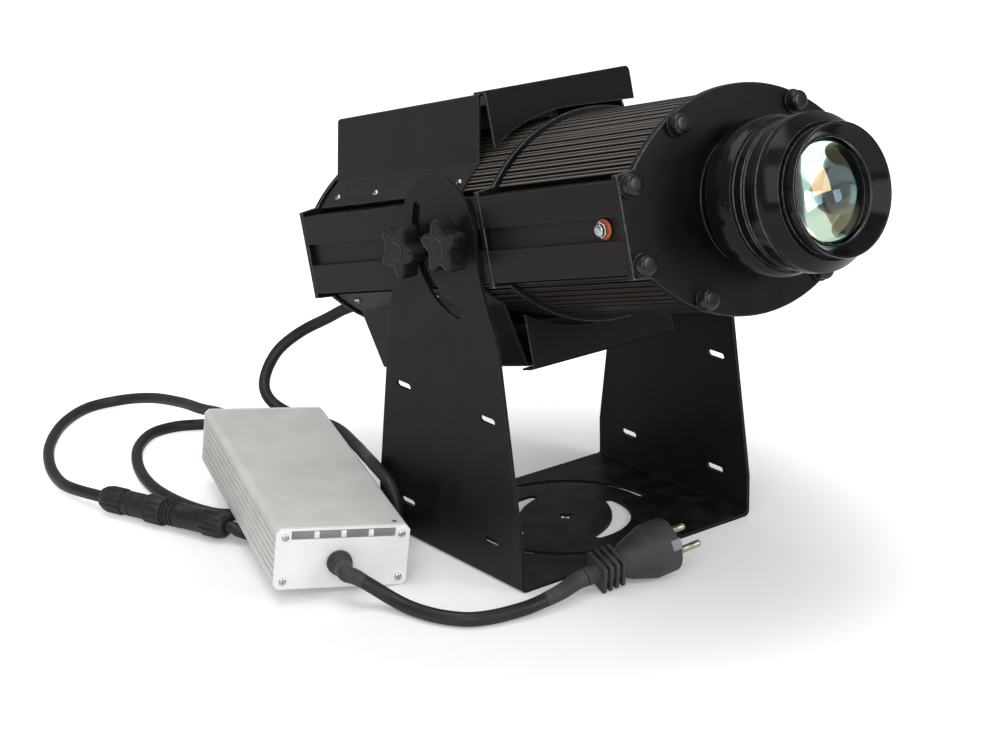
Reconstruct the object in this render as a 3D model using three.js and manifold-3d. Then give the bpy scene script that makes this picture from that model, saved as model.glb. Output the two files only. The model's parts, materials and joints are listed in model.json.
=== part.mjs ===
// Gobo projector: a tilting projector head held between the arms of a U-shaped floor bracket, with its
// separate driver (power supply) lying beside it, joined by cords.
//
// Bracket frame: x across, the lens looks along -y, z up, millimetres. The head is built in its own frame:
// v runs along the lens axis from rear to front, w across it. The whole is moved at the end so that its
// origin is the bottom centre of everything but the cords.
import * as THREE from "three";
import { mergeVertices } from "three/addons/utils/BufferGeometryUtils.js";
import Module from "manifold-3d";

const wasm = await Module();
wasm.setup();

const degree = Math.PI / 180;
const quarterTurn = Math.PI / 2;
const halfTurn = Math.PI;
const fullTurn = 2 * Math.PI;

// Clearances and overruns
const seatGap = 0.3; // between faces that rest on each other
const runningGap = 0.4; // round what slides or turns
const overrun = 1; // how far a cutter passes the face that it opens
const lensSides = 28; // facets round the projection lens
const arcSag = 0.25; // how far a chord may lie inside its arc

// Bracket
const bracketWidth = 205;
const bracketDepth = 160;
const bracketSheet = 2.5;
const bracketBend = 4; // outer radius of the two bends
const armFootHeight = 30;
const armWaistHalf = 60;
const armWaistZ = 160;
const armHeadRadius = 39.5;
const armHeadZ = 228;
const armShoulderRun = 22; // how far the taper goes on above the waist before it turns in
const armNeckRun = 33; // how far below the head's centre the edge turns upright
const pivotY = -22.8;
const pivotZ = 226.3;
const wallSlotLength = 17;
const wallSlotWidth = 4.5;
const wallSlotY = 46.7;
const wallSlotLowZ = 27;
const wallSlotHighZ = 112;
const lockArcRadius = 48; // from the pivot to the lock knob
const lockArcTopDeg = 17.6; // how far the lock stud rises above level, and drops below it
const lockArcBottomDeg = -84.6;
const baseArcRadius = 66.75;
const baseArcWidth = 5.4;
const baseArcStartDeg = -5;
const baseArcEndDeg = 88;
const crescentRadius = 46.6;
const crescentWidth = 13.6;
const crescentTipWidth = 7.6;
const crescentStartDeg = -96;
const crescentEndDeg = 2.5;
const centreSlotLength = 12;
const centreSlotWidth = 4;

// Head: section
const headTiltDeg = 14.47; // nose up, as it stands
const pivotV = 23.5;
const railFace = 99.5;
const railHalfHeight = 27.7;
const railInner = 86;
const grooveHalfHeight = 7.5;
const grooveDepth = 4;
const archOffset = 45.5; // each arch is struck from a centre this far across the axis
const finTipRadius = 112.5;
const finDepth = 5;
const finPitchDeg = 3.1;
const finHalfDeg = 0.62;
const finsEachSide = 15; // either side of the one on the crown
const boreRadius = 104;
const boreHalfWidth = 88;
const plateRadius = 116;
const plateEarHalfHeight = 31;

// Head: lengths along the lens axis
const rearCoverV = -170;
const rearCoverThickness = 4;
const rearHousingLength = 209.4;
const dividerThickness = 4;
const frontHousingLength = 133.4;
const frontCoverThickness = 5;

// Thumb nuts of the front cover
const tieFinIndex = 8; // the arch nuts sit between this fin and the next
const tieArchRadius = 109.6;
const tieRailX = 92;
const tieRailW = 23.5;
const tieStudRadius = 1.8;
const tieStudDepth = 10;
const nutWasherRadius = 7.6;
const nutWasherThickness = 1.2;
const nutCapRadius = 6.5;
const nutCapHeight = 6.5;
const nutCapRound = 2.2;

// Knobs
const knobStudRadius = 4;
const knobStudDepth = 5;
const knobHubRadius = 9;
const knobHubLength = 5;
const knobStarThickness = 13;
const knobStarRadius = 18.5;
const knobValleyRadius = 11.8;
const knobLobes = 5;
const pivotKnobTurnDeg = 22; // how each pair of stars stands
const lockKnobTurnDeg = -19;

// Hoods
const hoodSheet = 1.5;
const hoodTopHalf = 57.5;
const hoodTopW = 91;
const hoodFlangeOuterX = 83.5;
const hoodFlangeInnerX = 66;
const rearHoodSetback = 7; // in front of the rear cover
const rearHoodDividerGap = 34; // how far behind the divider the rear hoods end
const frontHoodReach = 12; // from the rear hoods' end to the front hoods' face
const frontHoodHalf = 61.5;
const frontHoodPlateGap = 2; // how far its cut runs outside the plates' arch
const frontHoodLevelX = 8; // from here across, the cut runs nearly level
const frontHoodFarFootW = 69.8;

// Fans
const fanSide = 80;
const fanThickness = 15;
const fanBoreRadius = 37.5;
const fanHubRadius = 14;
const fanStrutWidth = 4;
const fanStrutThickness = 2.5;
const fanFromRear = 95; // from the rear cover to the fans' middle
const fanFootFin = 6;
const fanFootWidth = 6;
const fanTipGap = 1.4;
const fanBladeThickness = 1.6;
const fanBladeChord = 13;
const fanBladePitchDeg = 38;
const fanBlades = 7;
const fanShaftRadius = 1.5;
const fanHoleRadius = 2.2;
const fanHoleInset = 4.4;

// Light engine
const sinkDividerGap = 88; // from the sink's back to the divider
const sinkThickness = 14;
const sinkFinLength = 34;
const sinkFinThickness = 2.4;
const sinkFinPitch = 16;
const sinkFinsEachSide = 4;
const ledSide = 44;
const ledThickness = 3;
const ledEmitterRadius = 13;
const ledEmitterHeight = 1.5;
const holderRadius = 38;
const holderWall = 4.2;
const holderLength = 34;
const holderLip = 3;
const holderLipFromFront = 12;
const condenserEdge = 4;
const condenserRise = 11;

// Gobo stage
const stageSetIn = 7.7; // how far inside the front housing
const stageThickness = 4;
const stageBossRadius = 24;
const stageApertureRadius = 19;
const stageBossLength = 8.4;
const goboRadius = 26;
const goboThickness = 2;
const goboRimWall = 3.5;
const clipThickness = 1.2;
const clipWidth = 2.2;
const clipGapDeg = 24;
const gearModule = 2;
const gearTeeth = 36;
const pinionTeeth = 10;
const gearFace = 6;
const gearAxialGap = 0.5;
const toothAddendumShare = 0.75; // these shares are of the module
const toothDedendumShare = 1.15;
const toothTipHalfShare = 0.36;
const toothRootHalfShare = 0.78;
const motorRadius = 14;
const motorLength = 22;
const motorShaftRadius = 2.5;
const motorShaftDepth = 12;

// Projection lens
const collarFlangeRadius = 42;
const collarFlangeThickness = 3;
const collarNeckRadius = 35;
const collarNeckLength = 14; // from the front face to the ring
const collarRingFloor = 3;
const collarRingRadius = 48.5;
const collarRingLength = 20;
const collarChamferLength = 4;
const collarChamferDrop = 2;
const barrelTailRadius = 32;
const barrelTailReach = 17; // how far behind the front face
const barrelBodySetIn = 6; // how far inside the collar's ring
const barrelBodyRadius = 45.5;
const barrelBodyProud = 19; // how far in front of the collar's ring
const barrelGrooveProud = 8;
const barrelGrooveSize = 0.6;
const barrelNoseRadius = 38;
const barrelNoseLength = 16.3;
const barrelTailBore = 28;
const rearLensRadius = 29;
const rearLensEdge = 4;
const rearLensRise = 4;
const frontLensRadius = 33.6;
const frontLensSetback = 6.3; // from the nose's end to the lens's seat
const frontLensEdge = 5;
const frontLensRise = 7;
const frontLensLand = 3; // flat ring under the bezel
const frontLensLip = 2.6;
const focusRingLength = 15.5;
const focusRingRadius = 47.5;
const focusRingFlatLength = 8.5;
const focusRingNoseRadius = 41;
const bezelLength = 10.4;
const bezelFrontRadius = 40;
const bezelLipThickness = 1.6;
const bezelRimWidth = 2;
const lockScrewRadius = 2;
const lockScrewSetback = 4; // behind the front of the collar's ring
const lockScrewDeg = 175;

// Vent valve in the left rail's groove
const ventSetback = 18; // behind the front cover
const ventStemRadius = 2.8;
const ventStemLength = 6;
const ventSealRadius = 6.4;
const ventSealThickness = 1.6;
const ventBaseRadius = 5.2;
const ventBaseThickness = 2;
const ventDomeRadius = 4;
const ventDomeHeight = 2.6;

// Cable glands
const headGlandX = -30;
const headGlandW = -45;
const glandStemRadius = 6;
const glandHexRadius = 10;
const glandHexLength = 6;
const glandNutRadius = 8.8;
const glandNutLength = 15;
const glandMouthRadius = 6;
const mainsGlandRadius = 8.5;
const mainsGlandLength = 10;

// Driver
const driverX = -235.3;
const driverY = 12.8;
const driverYawDeg = -19;
const driverPitchDeg = 1.5; // its rear end is raised
const driverRollDeg = 6.8; // its left side is raised
const driverWidth = 90;
const driverLength = 230;
const driverHeight = 42.4;
const driverWall = 2.6;
const driverPlate = 3;
const driverRibs = 7;
const driverRibDepth = 1.3;
const driverRibMargin = 5;
const driverLedge = 2;
const driverLedgeZ = 9;
const driverLedgeHeight = 2;
const driverCorner = 3;
const driverStripWidth = 70;
const driverStripHeight = 6;
const driverStripDepth = 0.9;
const driverStripDrop = 1.6;
const driverHoleX = 81;
const driverHoleY = 8;
const driverHoleRadius = 2;
const mainsGlandX = 43;
const mainsGlandZ = 18.3;
const powerGlandX = 28;
const powerGlandZ = 24;
const boardThickness = 1.6;
const boardEndGap = 14; // from the board's ends to the end plates
const coilBlockSide = 30;
const coilBlockHeight = 20;
const capacitorRadius = 9;
const capacitorHeight = 19;

// Cords
const cordDiameter = 8.6;
const mainsCordDiameter = 9.4;
const cordSides = 8;
const cordStepShare = 2.2; // length of a step, in diameters

// Mains plug
const plugFace = new THREE.Vector3(-7.7, -116.9, 21.4);
const plugHeadingDeg = -9;
const plugRiseDeg = 8.2;
const plugRollDeg = 18;
const plugRadius = 18.5;
const plugDiscDepth = 18;
const plugShoulderRadius = 13;
const plugShoulderDepth = 32;
const plugNeckRadius = 8.5;
const plugNeckDepth = 40;
const plugRibs = 4; // square plates of the grip
const plugRibHalf = 10.8;
const plugRibCorner = 1.5;
const plugRibThickness = 2.6;
const plugRibPitch = 4.8;
const plugTailRadius = 6.2;
const plugTailLength = 8;
const plugPinRadius = 2.4;
const plugPinLength = 19;
const plugPinSpacing = 19;

// Inline connector
const connectorX = -241.2;
const connectorY = 230.5;
const connectorHeadingDeg = -69.7;
const connectorNutRadius = 9.8;
const connectorNutLength = 21;
const connectorBodyRadius = 9;
const connectorBodyLength = 21;
const couplingRadius = 10.4;
const couplingLength = 16;
const spigotRadius = 6.5;
const spigotLength = 7;
const connectorGrooves = 3;
const connectorGrooveZone = 11;
const connectorGrooveDepth = 1.2;
const connectorBackLength = 25;
const connectorBackNutLength = 19;

// Derived places along the lens axis
const rearHousingV = rearCoverV + rearCoverThickness + seatGap;
const dividerV = rearHousingV + rearHousingLength + seatGap;
const frontHousingV = dividerV + dividerThickness + seatGap;
const frontCoverV = frontHousingV + frontHousingLength + seatGap;
const frontFaceV = frontCoverV + frontCoverThickness;
const stageBackV = frontHousingV + stageSetIn;
const stageFrontV = stageBackV + stageThickness;
const sinkBackV = dividerV - sinkDividerGap;
const sinkFrontV = sinkBackV + sinkThickness;
const fanV = rearCoverV + fanFromRear;
const rearHoodStartV = rearCoverV + rearHoodSetback;
const rearHoodEndV = dividerV - rearHoodDividerGap;
const frontHoodFaceV = rearHoodEndV + frontHoodReach;
const ventV = frontCoverV - ventSetback;
const collarRingBackV = frontFaceV + collarNeckLength;
const collarRingEndV = collarRingBackV + collarRingLength;
const lockScrewV = collarRingEndV - lockScrewSetback;
const barrelTailStartV = frontFaceV - barrelTailReach;
const barrelBodyStartV = collarRingEndV - barrelBodySetIn;
const barrelBodyEndV = collarRingEndV + barrelBodyProud;
const barrelGrooveV = collarRingEndV + barrelGrooveProud;
const barrelNoseEndV = barrelBodyEndV + barrelNoseLength;
const frontLensSeatV = barrelNoseEndV - frontLensSetback;
const grooveFloor = railFace - grooveDepth;
const headTilt = headTiltDeg * degree;

// Finishes
function finish(color, roughness, metalness) {
  return new THREE.MeshStandardMaterial({ color, roughness, metalness, flatShading: true });
}
const blackCoat = finish(0x151516, 0.55, 0.2);
const blackAnodised = finish(0x1c1a19, 0.4, 0.6);
const blackGloss = finish(0x0d0d0e, 0.15, 0.3);
const blackPlastic = finish(0x18181a, 0.45, 0);
const greyRubber = finish(0x2c2e30, 0.7, 0);
const silver = finish(0xbdbdb8, 0.45, 0.8);
const zinc = finish(0xb9bcc0, 0.3, 1);
const brass = finish(0xb59a50, 0.3, 1);
const glass = finish(0xdfeee6, 0.03, 0);
const boardGreen = finish(0x2f5a35, 0.6, 0);
const orangeRubber = finish(0xc2502a, 0.6, 0);
const cordBlack = finish(0x1b1c1e, 0.6, 0);

// Solids: a closed geometry becomes a manifold, and a manifold a geometry
function solid(geometry) {
  const loose = geometry.index ? geometry.toNonIndexed() : geometry;
  const bare = new THREE.BufferGeometry();
  bare.setAttribute("position", loose.getAttribute("position"));
  const merged = mergeVertices(bare);
  const vertProperties = merged.attributes.position.array;
  const triVerts = new Uint32Array(merged.index.array);
  const made = new wasm.Manifold(new wasm.Mesh({ numProp: 3, vertProperties, triVerts }));
  if (made.volume() >= 0) return made;
  return new wasm.Manifold(new wasm.Mesh({ numProp: 3, vertProperties, triVerts: triVerts.reverse() }));
}

function geometryOf(made) {
  const mesh = made.getMesh();
  const geometry = new THREE.BufferGeometry();
  geometry.setAttribute("position", new THREE.BufferAttribute(mesh.vertProperties, 3));
  geometry.setIndex(new THREE.BufferAttribute(mesh.triVerts, 1));
  return geometry;
}

// The first geometry with the rest joined to it
function joined(first, ...rest) {
  return rest.reduce((whole, next) => whole.add(solid(next)), solid(first));
}

function cut(whole, cutters) {
  return cutters.reduce((left, cutter) => left.subtract(solid(cutter)), whole);
}

function addPiece(parent, name, shape, material) {
  const geometry = shape.isBufferGeometry ? geometryOf(solid(shape)) : geometryOf(shape);
  const mesh = new THREE.Mesh(geometry, material);
  mesh.name = name;
  parent.add(mesh);
  return mesh;
}

// Outlines
function outline(points) {
  return new THREE.Shape(points.map(([x, y]) => new THREE.Vector2(x, y)));
}

// Points along an arc, both ends included, as many as its radius needs
function arcPoints(x, y, radius, start, end) {
  const step = 2 * Math.acos(1 - Math.min(arcSag / radius, 1 / 2));
  const steps = Math.ceil(Math.abs(end - start) / step);
  const points = [];
  for (let i = 0; i <= steps; i++) {
    const angle = start + ((end - start) * i) / steps;
    points.push([x + radius * Math.cos(angle), y + radius * Math.sin(angle)]);
  }
  return points;
}

function disc(radius, x = 0, y = 0) {
  return outline(arcPoints(x, y, radius, 0, fullTurn).slice(1));
}

// A slot with round ends, centred on x, y
function obround(length, width, x, y) {
  const run = (length - width) / 2;
  return outline([
    ...arcPoints(x + run, y, width / 2, -quarterTurn, quarterTurn),
    ...arcPoints(x - run, y, width / 2, quarterTurn, quarterTurn + halfTurn),
  ]);
}

// A slot with round ends bent along an arc
function arcSlot(radius, width, start, end, x = 0, y = 0) {
  const half = width / 2;
  const [endX, endY] = [x + radius * Math.cos(end), y + radius * Math.sin(end)];
  const [startX, startY] = [x + radius * Math.cos(start), y + radius * Math.sin(start)];
  return outline([
    ...arcPoints(x, y, radius + half, start, end),
    ...arcPoints(endX, endY, half, end, end + halfTurn).slice(1, -1),
    ...arcPoints(x, y, radius - half, end, start),
    ...arcPoints(startX, startY, half, start + halfTurn, start + fullTurn).slice(1, -1),
  ]);
}

// A strip of sheet: an open path and its mitred offset, on the left of the path
function sheetStrip(path, thickness) {
  const normals = path.slice(1).map(([x, y], i) => {
    const length = Math.hypot(x - path[i][0], y - path[i][1]);
    return [(path[i][1] - y) / length, (x - path[i][0]) / length];
  });
  const offset = path.map(([x, y], i) => {
    const before = normals[Math.max(i - 1, 0)];
    const after = normals[Math.min(i, normals.length - 1)];
    const spread = 1 + before[0] * after[0] + before[1] * after[1];
    const shiftX = (thickness * (before[0] + after[0])) / spread;
    const shiftY = (thickness * (before[1] + after[1])) / spread;
    return [x + shiftX, y + shiftY];
  });
  return outline([...path, ...offset.reverse()]);
}

// Solids from outlines. Across: x, from one x to another, outline in y and z
function extruded(shape, depth) {
  return new THREE.ExtrudeGeometry(shape, { depth, bevelEnabled: false });
}

function acrossX(shape, fromX, toX) {
  const geometry = extruded(shape, toX - fromX);
  return geometry.rotateX(quarterTurn).rotateZ(quarterTurn).translate(fromX, 0, 0);
}

// Along the lens axis of the head, outline in x and w
function alongLens(shape, fromV, toV) {
  const geometry = extruded(shape, toV - fromV);
  return geometry.rotateX(quarterTurn).translate(0, pivotV - fromV, 0);
}

// Turned about the y axis from points of radius and height
function turned(profile, segments) {
  return new THREE.LatheGeometry(
    profile.map(([radius, height]) => new THREE.Vector2(radius, height)),
    segments,
  );
}

// Turned about a line parallel to the lens axis, from points of radius and v
function turnedAlongLens(profile, segments, x = 0, w = 0) {
  return turned(profile, segments).rotateX(halfTurn).translate(x, pivotV, w);
}

function rod(radius, length, segments) {
  return new THREE.CylinderGeometry(radius, radius, length, segments);
}

// A rod parallel to the lens axis, between two places on it
function rodAlongLens(radius, fromV, toV, x, w, segments = 16) {
  return rod(radius, toV - fromV, segments).translate(x, pivotV - (fromV + toV) / 2, w);
}

// A rod parallel to x, between two places on it
function rodAcross(radius, fromX, toX, y, z, segments = 16) {
  const length = Math.abs(toX - fromX);
  return rod(radius, length, segments).rotateZ(quarterTurn).translate((fromX + toX) / 2, y, z);
}

function block(width, depth, height, x, y, z) {
  return new THREE.BoxGeometry(width, depth, height).translate(x, y, z);
}

// Height w of an arch of the given radius at x
function archHeight(radius, x) {
  return Math.sqrt(radius * radius - x * x) - archOffset;
}

// A point of the upper (side 1) or lower (side -1) arch at an angle from its crown
function onArch(radius, angle, side) {
  return [side * radius * Math.sin(angle), side * (radius * Math.cos(angle) - archOffset)];
}

// Bracket
function armShape() {
  const footHalf = bracketDepth / 2;
  const taper = (footHalf - armWaistHalf) / (armWaistZ - armFootHeight);
  const shoulderHalf = armWaistHalf - taper * armShoulderRun;
  const shoulderZ = armWaistZ + armShoulderRun;
  const neckZ = armHeadZ - armNeckRun;
  const shoulder = new THREE.CubicBezierCurve(
    new THREE.Vector2(armWaistHalf, armWaistZ),
    new THREE.Vector2(shoulderHalf, shoulderZ),
    new THREE.Vector2(armHeadRadius, neckZ),
    new THREE.Vector2(armHeadRadius, armHeadZ),
  );
  const right = shoulder.getPoints(9).map((point) => [point.x, point.y]);
  const left = right.map(([y, z]) => [-y, z]).reverse();
  return outline([
    [-footHalf, -overrun],
    [footHalf, -overrun],
    [footHalf, armFootHeight],
    ...right,
    ...arcPoints(0, armHeadZ, armHeadRadius, 0, halfTurn).slice(1, -1),
    ...left,
    [-footHalf, armFootHeight],
  ]);
}

// The bent strip that the bracket is cut from, seen from the front
function channelShape() {
  const half = bracketWidth / 2;
  const top = armHeadZ + armHeadRadius + overrun;
  const inner = half - bracketSheet;
  const innerBend = bracketBend - bracketSheet;
  const bendX = half - bracketBend;
  return outline([
    [-half, top],
    ...arcPoints(-bendX, bracketBend, bracketBend, halfTurn, halfTurn + quarterTurn),
    ...arcPoints(bendX, bracketBend, bracketBend, -quarterTurn, 0),
    [half, top],
    [inner, top],
    ...arcPoints(bendX, bracketBend, innerBend, 0, -quarterTurn),
    ...arcPoints(-bendX, bracketBend, innerBend, -quarterTurn, -halfTurn),
    [-inner, top],
  ]);
}

// A crescent: an outer arc, round tips and a deeper inner curve
function crescentShape(start, end) {
  const tipRadius = crescentTipWidth / 2;
  const tipCentre = crescentRadius - tipRadius;
  const innerTip = crescentRadius - crescentTipWidth;
  const middle = (start + end) / 2;
  const depth = crescentRadius - crescentWidth;
  const reach = 2 * depth - innerTip * Math.cos((end - start) / 2);
  const tip = (angle) => [tipCentre * Math.cos(angle), tipCentre * Math.sin(angle), tipRadius];
  const hollow = new THREE.QuadraticBezierCurve(
    new THREE.Vector2(innerTip * Math.cos(end), innerTip * Math.sin(end)),
    new THREE.Vector2(reach * Math.cos(middle), reach * Math.sin(middle)),
    new THREE.Vector2(innerTip * Math.cos(start), innerTip * Math.sin(start)),
  );
  return outline([
    ...arcPoints(0, 0, crescentRadius, start, end),
    ...arcPoints(...tip(end), end, end + halfTurn).slice(1, -1),
    ...hollow.getPoints(12).map((point) => [point.x, point.y]),
    ...arcPoints(...tip(start), start + halfTurn, start + fullTurn).slice(1, -1),
  ]);
}

function makeBracket(parent) {
  const half = bracketWidth / 2;
  const strip = extruded(channelShape(), bracketDepth);
  strip.rotateX(quarterTurn).translate(0, bracketDepth / 2, 0);
  const arms = acrossX(armShape(), -half - overrun, half + overrun);
  const wallCutters = [disc(knobStudRadius + runningGap, pivotY, pivotZ)];
  wallCutters.push(
    arcSlot(
      lockArcRadius,
      2 * (knobStudRadius + runningGap),
      lockArcBottomDeg * degree,
      lockArcTopDeg * degree,
      pivotY,
      pivotZ,
    ),
  );
  for (const y of [-wallSlotY, wallSlotY]) {
    for (const z of [wallSlotLowZ, wallSlotHighZ]) {
      wallCutters.push(obround(wallSlotLength, wallSlotWidth, y, z));
    }
  }
  const across = wallCutters.map((shape) => acrossX(shape, -half - overrun, half + overrun));
  const floorShapes = [];
  for (const turn of [0, halfTurn]) {
    const arcStart = baseArcStartDeg * degree + turn;
    const arcEnd = baseArcEndDeg * degree + turn;
    floorShapes.push(arcSlot(baseArcRadius, baseArcWidth, arcStart, arcEnd));
    floorShapes.push(crescentShape(crescentStartDeg * degree + turn, crescentEndDeg * degree + turn));
  }
  floorShapes.push(obround(centreSlotLength, centreSlotWidth, 0, 0));
  const down = floorShapes.map((shape) => {
    const cutter = extruded(shape, bracketSheet + 2 * overrun);
    return cutter.translate(0, 0, -overrun);
  });
  const crossSlot = extruded(obround(centreSlotLength, centreSlotWidth, 0, 0), bracketSheet + 2 * overrun);
  down.push(crossSlot.rotateZ(quarterTurn).translate(0, 0, -overrun));
  const sheet = solid(strip).intersect(solid(arms));
  addPiece(parent, "yoke_bracket", cut(sheet, [...across, ...down]), blackCoat);
}

// Head housings and plates
function boreOutline(inset) {
  const radius = boreRadius - inset;
  const halfWidth = boreHalfWidth - inset;
  const corner = Math.asin(halfWidth / radius);
  const bottom = halfTurn + quarterTurn;
  return outline([
    ...arcPoints(0, -archOffset, radius, quarterTurn - corner, quarterTurn + corner),
    ...arcPoints(0, archOffset, radius, bottom - corner, bottom + corner),
  ]);
}

function railCorners(side) {
  return [
    [side * railInner, -side * railHalfHeight],
    [side * railFace, -side * railHalfHeight],
    [side * railFace, -side * grooveHalfHeight],
    [side * grooveFloor, -side * grooveHalfHeight],
    [side * grooveFloor, side * grooveHalfHeight],
    [side * railFace, side * grooveHalfHeight],
    [side * railFace, side * railHalfHeight],
    [side * railInner, side * railHalfHeight],
  ];
}

// One arch of fins, from right to left on the upper side. The two fins that hold a tie stud are joined.
function finArch(side, rootRadius) {
  const points = [[side * railInner, side * archHeight(rootRadius, railInner)]];
  for (let i = finsEachSide; i >= -finsEachSide; i--) {
    const centre = i * finPitchDeg * degree;
    const half = finHalfDeg * degree;
    const opensBefore = i !== tieFinIndex && i !== -tieFinIndex - 1;
    const opensAfter = i !== tieFinIndex + 1 && i !== -tieFinIndex;
    if (opensBefore) points.push(onArch(rootRadius, centre + half, side));
    points.push(onArch(finTipRadius, centre + half, side));
    points.push(onArch(finTipRadius, centre - half, side));
    if (opensAfter) points.push(onArch(rootRadius, centre - half, side));
  }
  points.push([-side * railInner, side * archHeight(rootRadius, railInner)]);
  return points;
}

function housing(fromV, length) {
  const rootRadius = finTipRadius - finDepth;
  const shape = outline([
    ...railCorners(1),
    ...finArch(1, rootRadius),
    ...railCorners(-1),
    ...finArch(-1, rootRadius),
  ]);
  const shell = solid(alongLens(shape, fromV, fromV + length));
  const bore = alongLens(boreOutline(0), fromV - overrun, fromV + length + overrun);
  return cut(shell, [bore]);
}

function plateOutline() {
  const corner = Math.asin(railInner / plateRadius);
  const bottom = halfTurn + quarterTurn;
  return outline([
    [railFace, plateEarHalfHeight],
    ...arcPoints(0, -archOffset, plateRadius, quarterTurn - corner, quarterTurn + corner),
    [-railFace, plateEarHalfHeight],
    [-railFace, -plateEarHalfHeight],
    ...arcPoints(0, archOffset, plateRadius, bottom - corner, bottom + corner),
    [railFace, -plateEarHalfHeight],
  ]);
}

// Where the front cover's eight thumb nuts sit: x and w
function tiePlaces() {
  const angle = (tieFinIndex + 1 / 2) * finPitchDeg * degree;
  const archX = tieArchRadius * Math.sin(angle);
  const archW = tieArchRadius * Math.cos(angle) - archOffset;
  const places = [];
  for (const [x, w] of [[archX, archW], [tieRailX, tieRailW]]) {
    for (const across of [-1, 1]) {
      for (const up of [1, -1]) places.push([across * x, up * w]);
    }
  }
  return places;
}

function makeHousings(head) {
  const studHoles = [pivotV, pivotV - lockArcRadius].flatMap((v) =>
    [-1, 1].map((side) => {
      const floor = side * (grooveFloor - knobStudDepth - runningGap);
      return rodAcross(knobStudRadius + runningGap, floor, side * railFace, pivotV - v, 0, 14);
    }),
  );
  addPiece(head, "rear_housing", cut(housing(rearHousingV, rearHousingLength), studHoles), blackAnodised);
  const tieRadius = tieStudRadius + seatGap;
  const tieEnd = frontCoverV - tieStudDepth - runningGap;
  const tieHoles = tiePlaces().map(([x, w]) =>
    rodAlongLens(tieRadius, tieEnd, frontCoverV + frontCoverThickness + overrun, x, w, 10),
  );
  const ventFloor = -(grooveFloor - ventStemLength - runningGap);
  const ventHole = rodAcross(ventStemRadius + seatGap, ventFloor, -railFace, pivotV - ventV, 0, 12);
  const front = cut(housing(frontHousingV, frontHousingLength), [...tieHoles, ventHole]);
  addPiece(head, "front_housing", front, blackAnodised);

  const divider = plateOutline();
  divider.holes.push(boreOutline(0));
  const dividerSolid = alongLens(divider, dividerV, dividerV + dividerThickness);
  addPiece(head, "divider_plate", dividerSolid, blackCoat);

  const frontPlate = solid(alongLens(plateOutline(), frontCoverV, frontFaceV));
  const lensHole = rodAlongLens(
    barrelTailRadius + overrun,
    frontCoverV - overrun,
    frontFaceV + overrun,
    0,
    0,
    32,
  );
  addPiece(head, "front_cover", cut(frontPlate, [...tieHoles, lensHole]), blackCoat);

  const rearPlate = solid(alongLens(plateOutline(), rearCoverV, rearCoverV + rearCoverThickness));
  const glandHole = rodAlongLens(
    glandStemRadius + seatGap,
    rearCoverV - overrun,
    rearCoverV + rearCoverThickness + overrun,
    headGlandX,
    headGlandW,
  );
  addPiece(head, "rear_cover", cut(rearPlate, [glandHole]), blackCoat);
}

// Thumb nut: washer, rounded cap and the tie stud moulded into it
function makeThumbNuts(head) {
  const washerV = frontFaceV + seatGap;
  const capV = washerV + nutWasherThickness;
  const endV = capV + nutCapHeight;
  const studEnd = frontCoverV - tieStudDepth;
  const profile = [
    [0, studEnd],
    [tieStudRadius, studEnd],
    [tieStudRadius, washerV],
    [nutWasherRadius, washerV],
    [nutWasherRadius, capV],
    [nutCapRadius, capV],
    [nutCapRadius, endV - nutCapRound],
    [nutCapRadius - nutCapRound, endV],
    [0, endV],
  ];
  tiePlaces().forEach(([x, w], i) => {
    addPiece(head, `thumb_nut_${i + 1}`, turnedAlongLens(profile, 10, x, w), blackGloss);
  });
}

// Star knobs with a moulded stud, on both sides: one on the pivot, one in the lock arc
function starOutline(turn) {
  const middle = (knobStarRadius + knobValleyRadius) / 2;
  const swing = (knobStarRadius - knobValleyRadius) / 2;
  const steps = 7 * knobLobes;
  const points = [];
  for (let i = 0; i < steps; i++) {
    const angle = (i / steps) * fullTurn;
    const radius = middle + swing * Math.cos(knobLobes * angle);
    points.push([radius * Math.cos(angle + turn), radius * Math.sin(angle + turn)]);
  }
  return outline(points);
}

function makeKnob(head, name, side, v, turnDeg) {
  const hubX = side * (bracketWidth / 2 + seatGap);
  const starX = hubX + side * knobHubLength;
  const faceX = starX + side * knobStarThickness;
  const studX = side * (grooveFloor - knobStudDepth);
  const outlined = starOutline(turnDeg * degree);
  const star = acrossX(outlined, Math.min(starX, faceX), Math.max(starX, faceX));
  const hub = rodAcross(knobHubRadius, hubX, starX + side * overrun, 0, 0, 16);
  const stud = rodAcross(knobStudRadius, studX, starX + side * overrun, 0, 0, 12);
  const knob = addPiece(head, name, joined(star, hub, stud), blackPlastic);
  knob.position.y = pivotV - v;
}

function makeKnobs(head) {
  for (const [side, hand] of [[-1, "left"], [1, "right"]]) {
    makeKnob(head, `pivot_knob_${hand}`, side, pivotV, pivotKnobTurnDeg);
    makeKnob(head, `lock_knob_${hand}`, side, pivotV - lockArcRadius, lockKnobTurnDeg);
  }
}

// Hoods: bent sheet channels over the fins, the same above and below
function rearHood() {
  const seatRadius = finTipRadius + seatGap;
  const middleX = (hoodFlangeOuterX + hoodFlangeInnerX) / 2;
  const wallTop = hoodTopW - hoodSheet;
  const half = [
    [hoodFlangeOuterX, archHeight(seatRadius, hoodFlangeOuterX)],
    [middleX, archHeight(seatRadius, middleX)],
    [hoodFlangeInnerX, archHeight(seatRadius, hoodFlangeInnerX)],
    [hoodTopHalf - hoodSheet, wallTop],
  ];
  const mirrored = half.map(([x, w]) => [-x, w]);
  const strip = sheetStrip([...mirrored, ...half.reverse()], hoodSheet);
  return solid(alongLens(strip, rearHoodStartV, rearHoodEndV));
}

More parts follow.
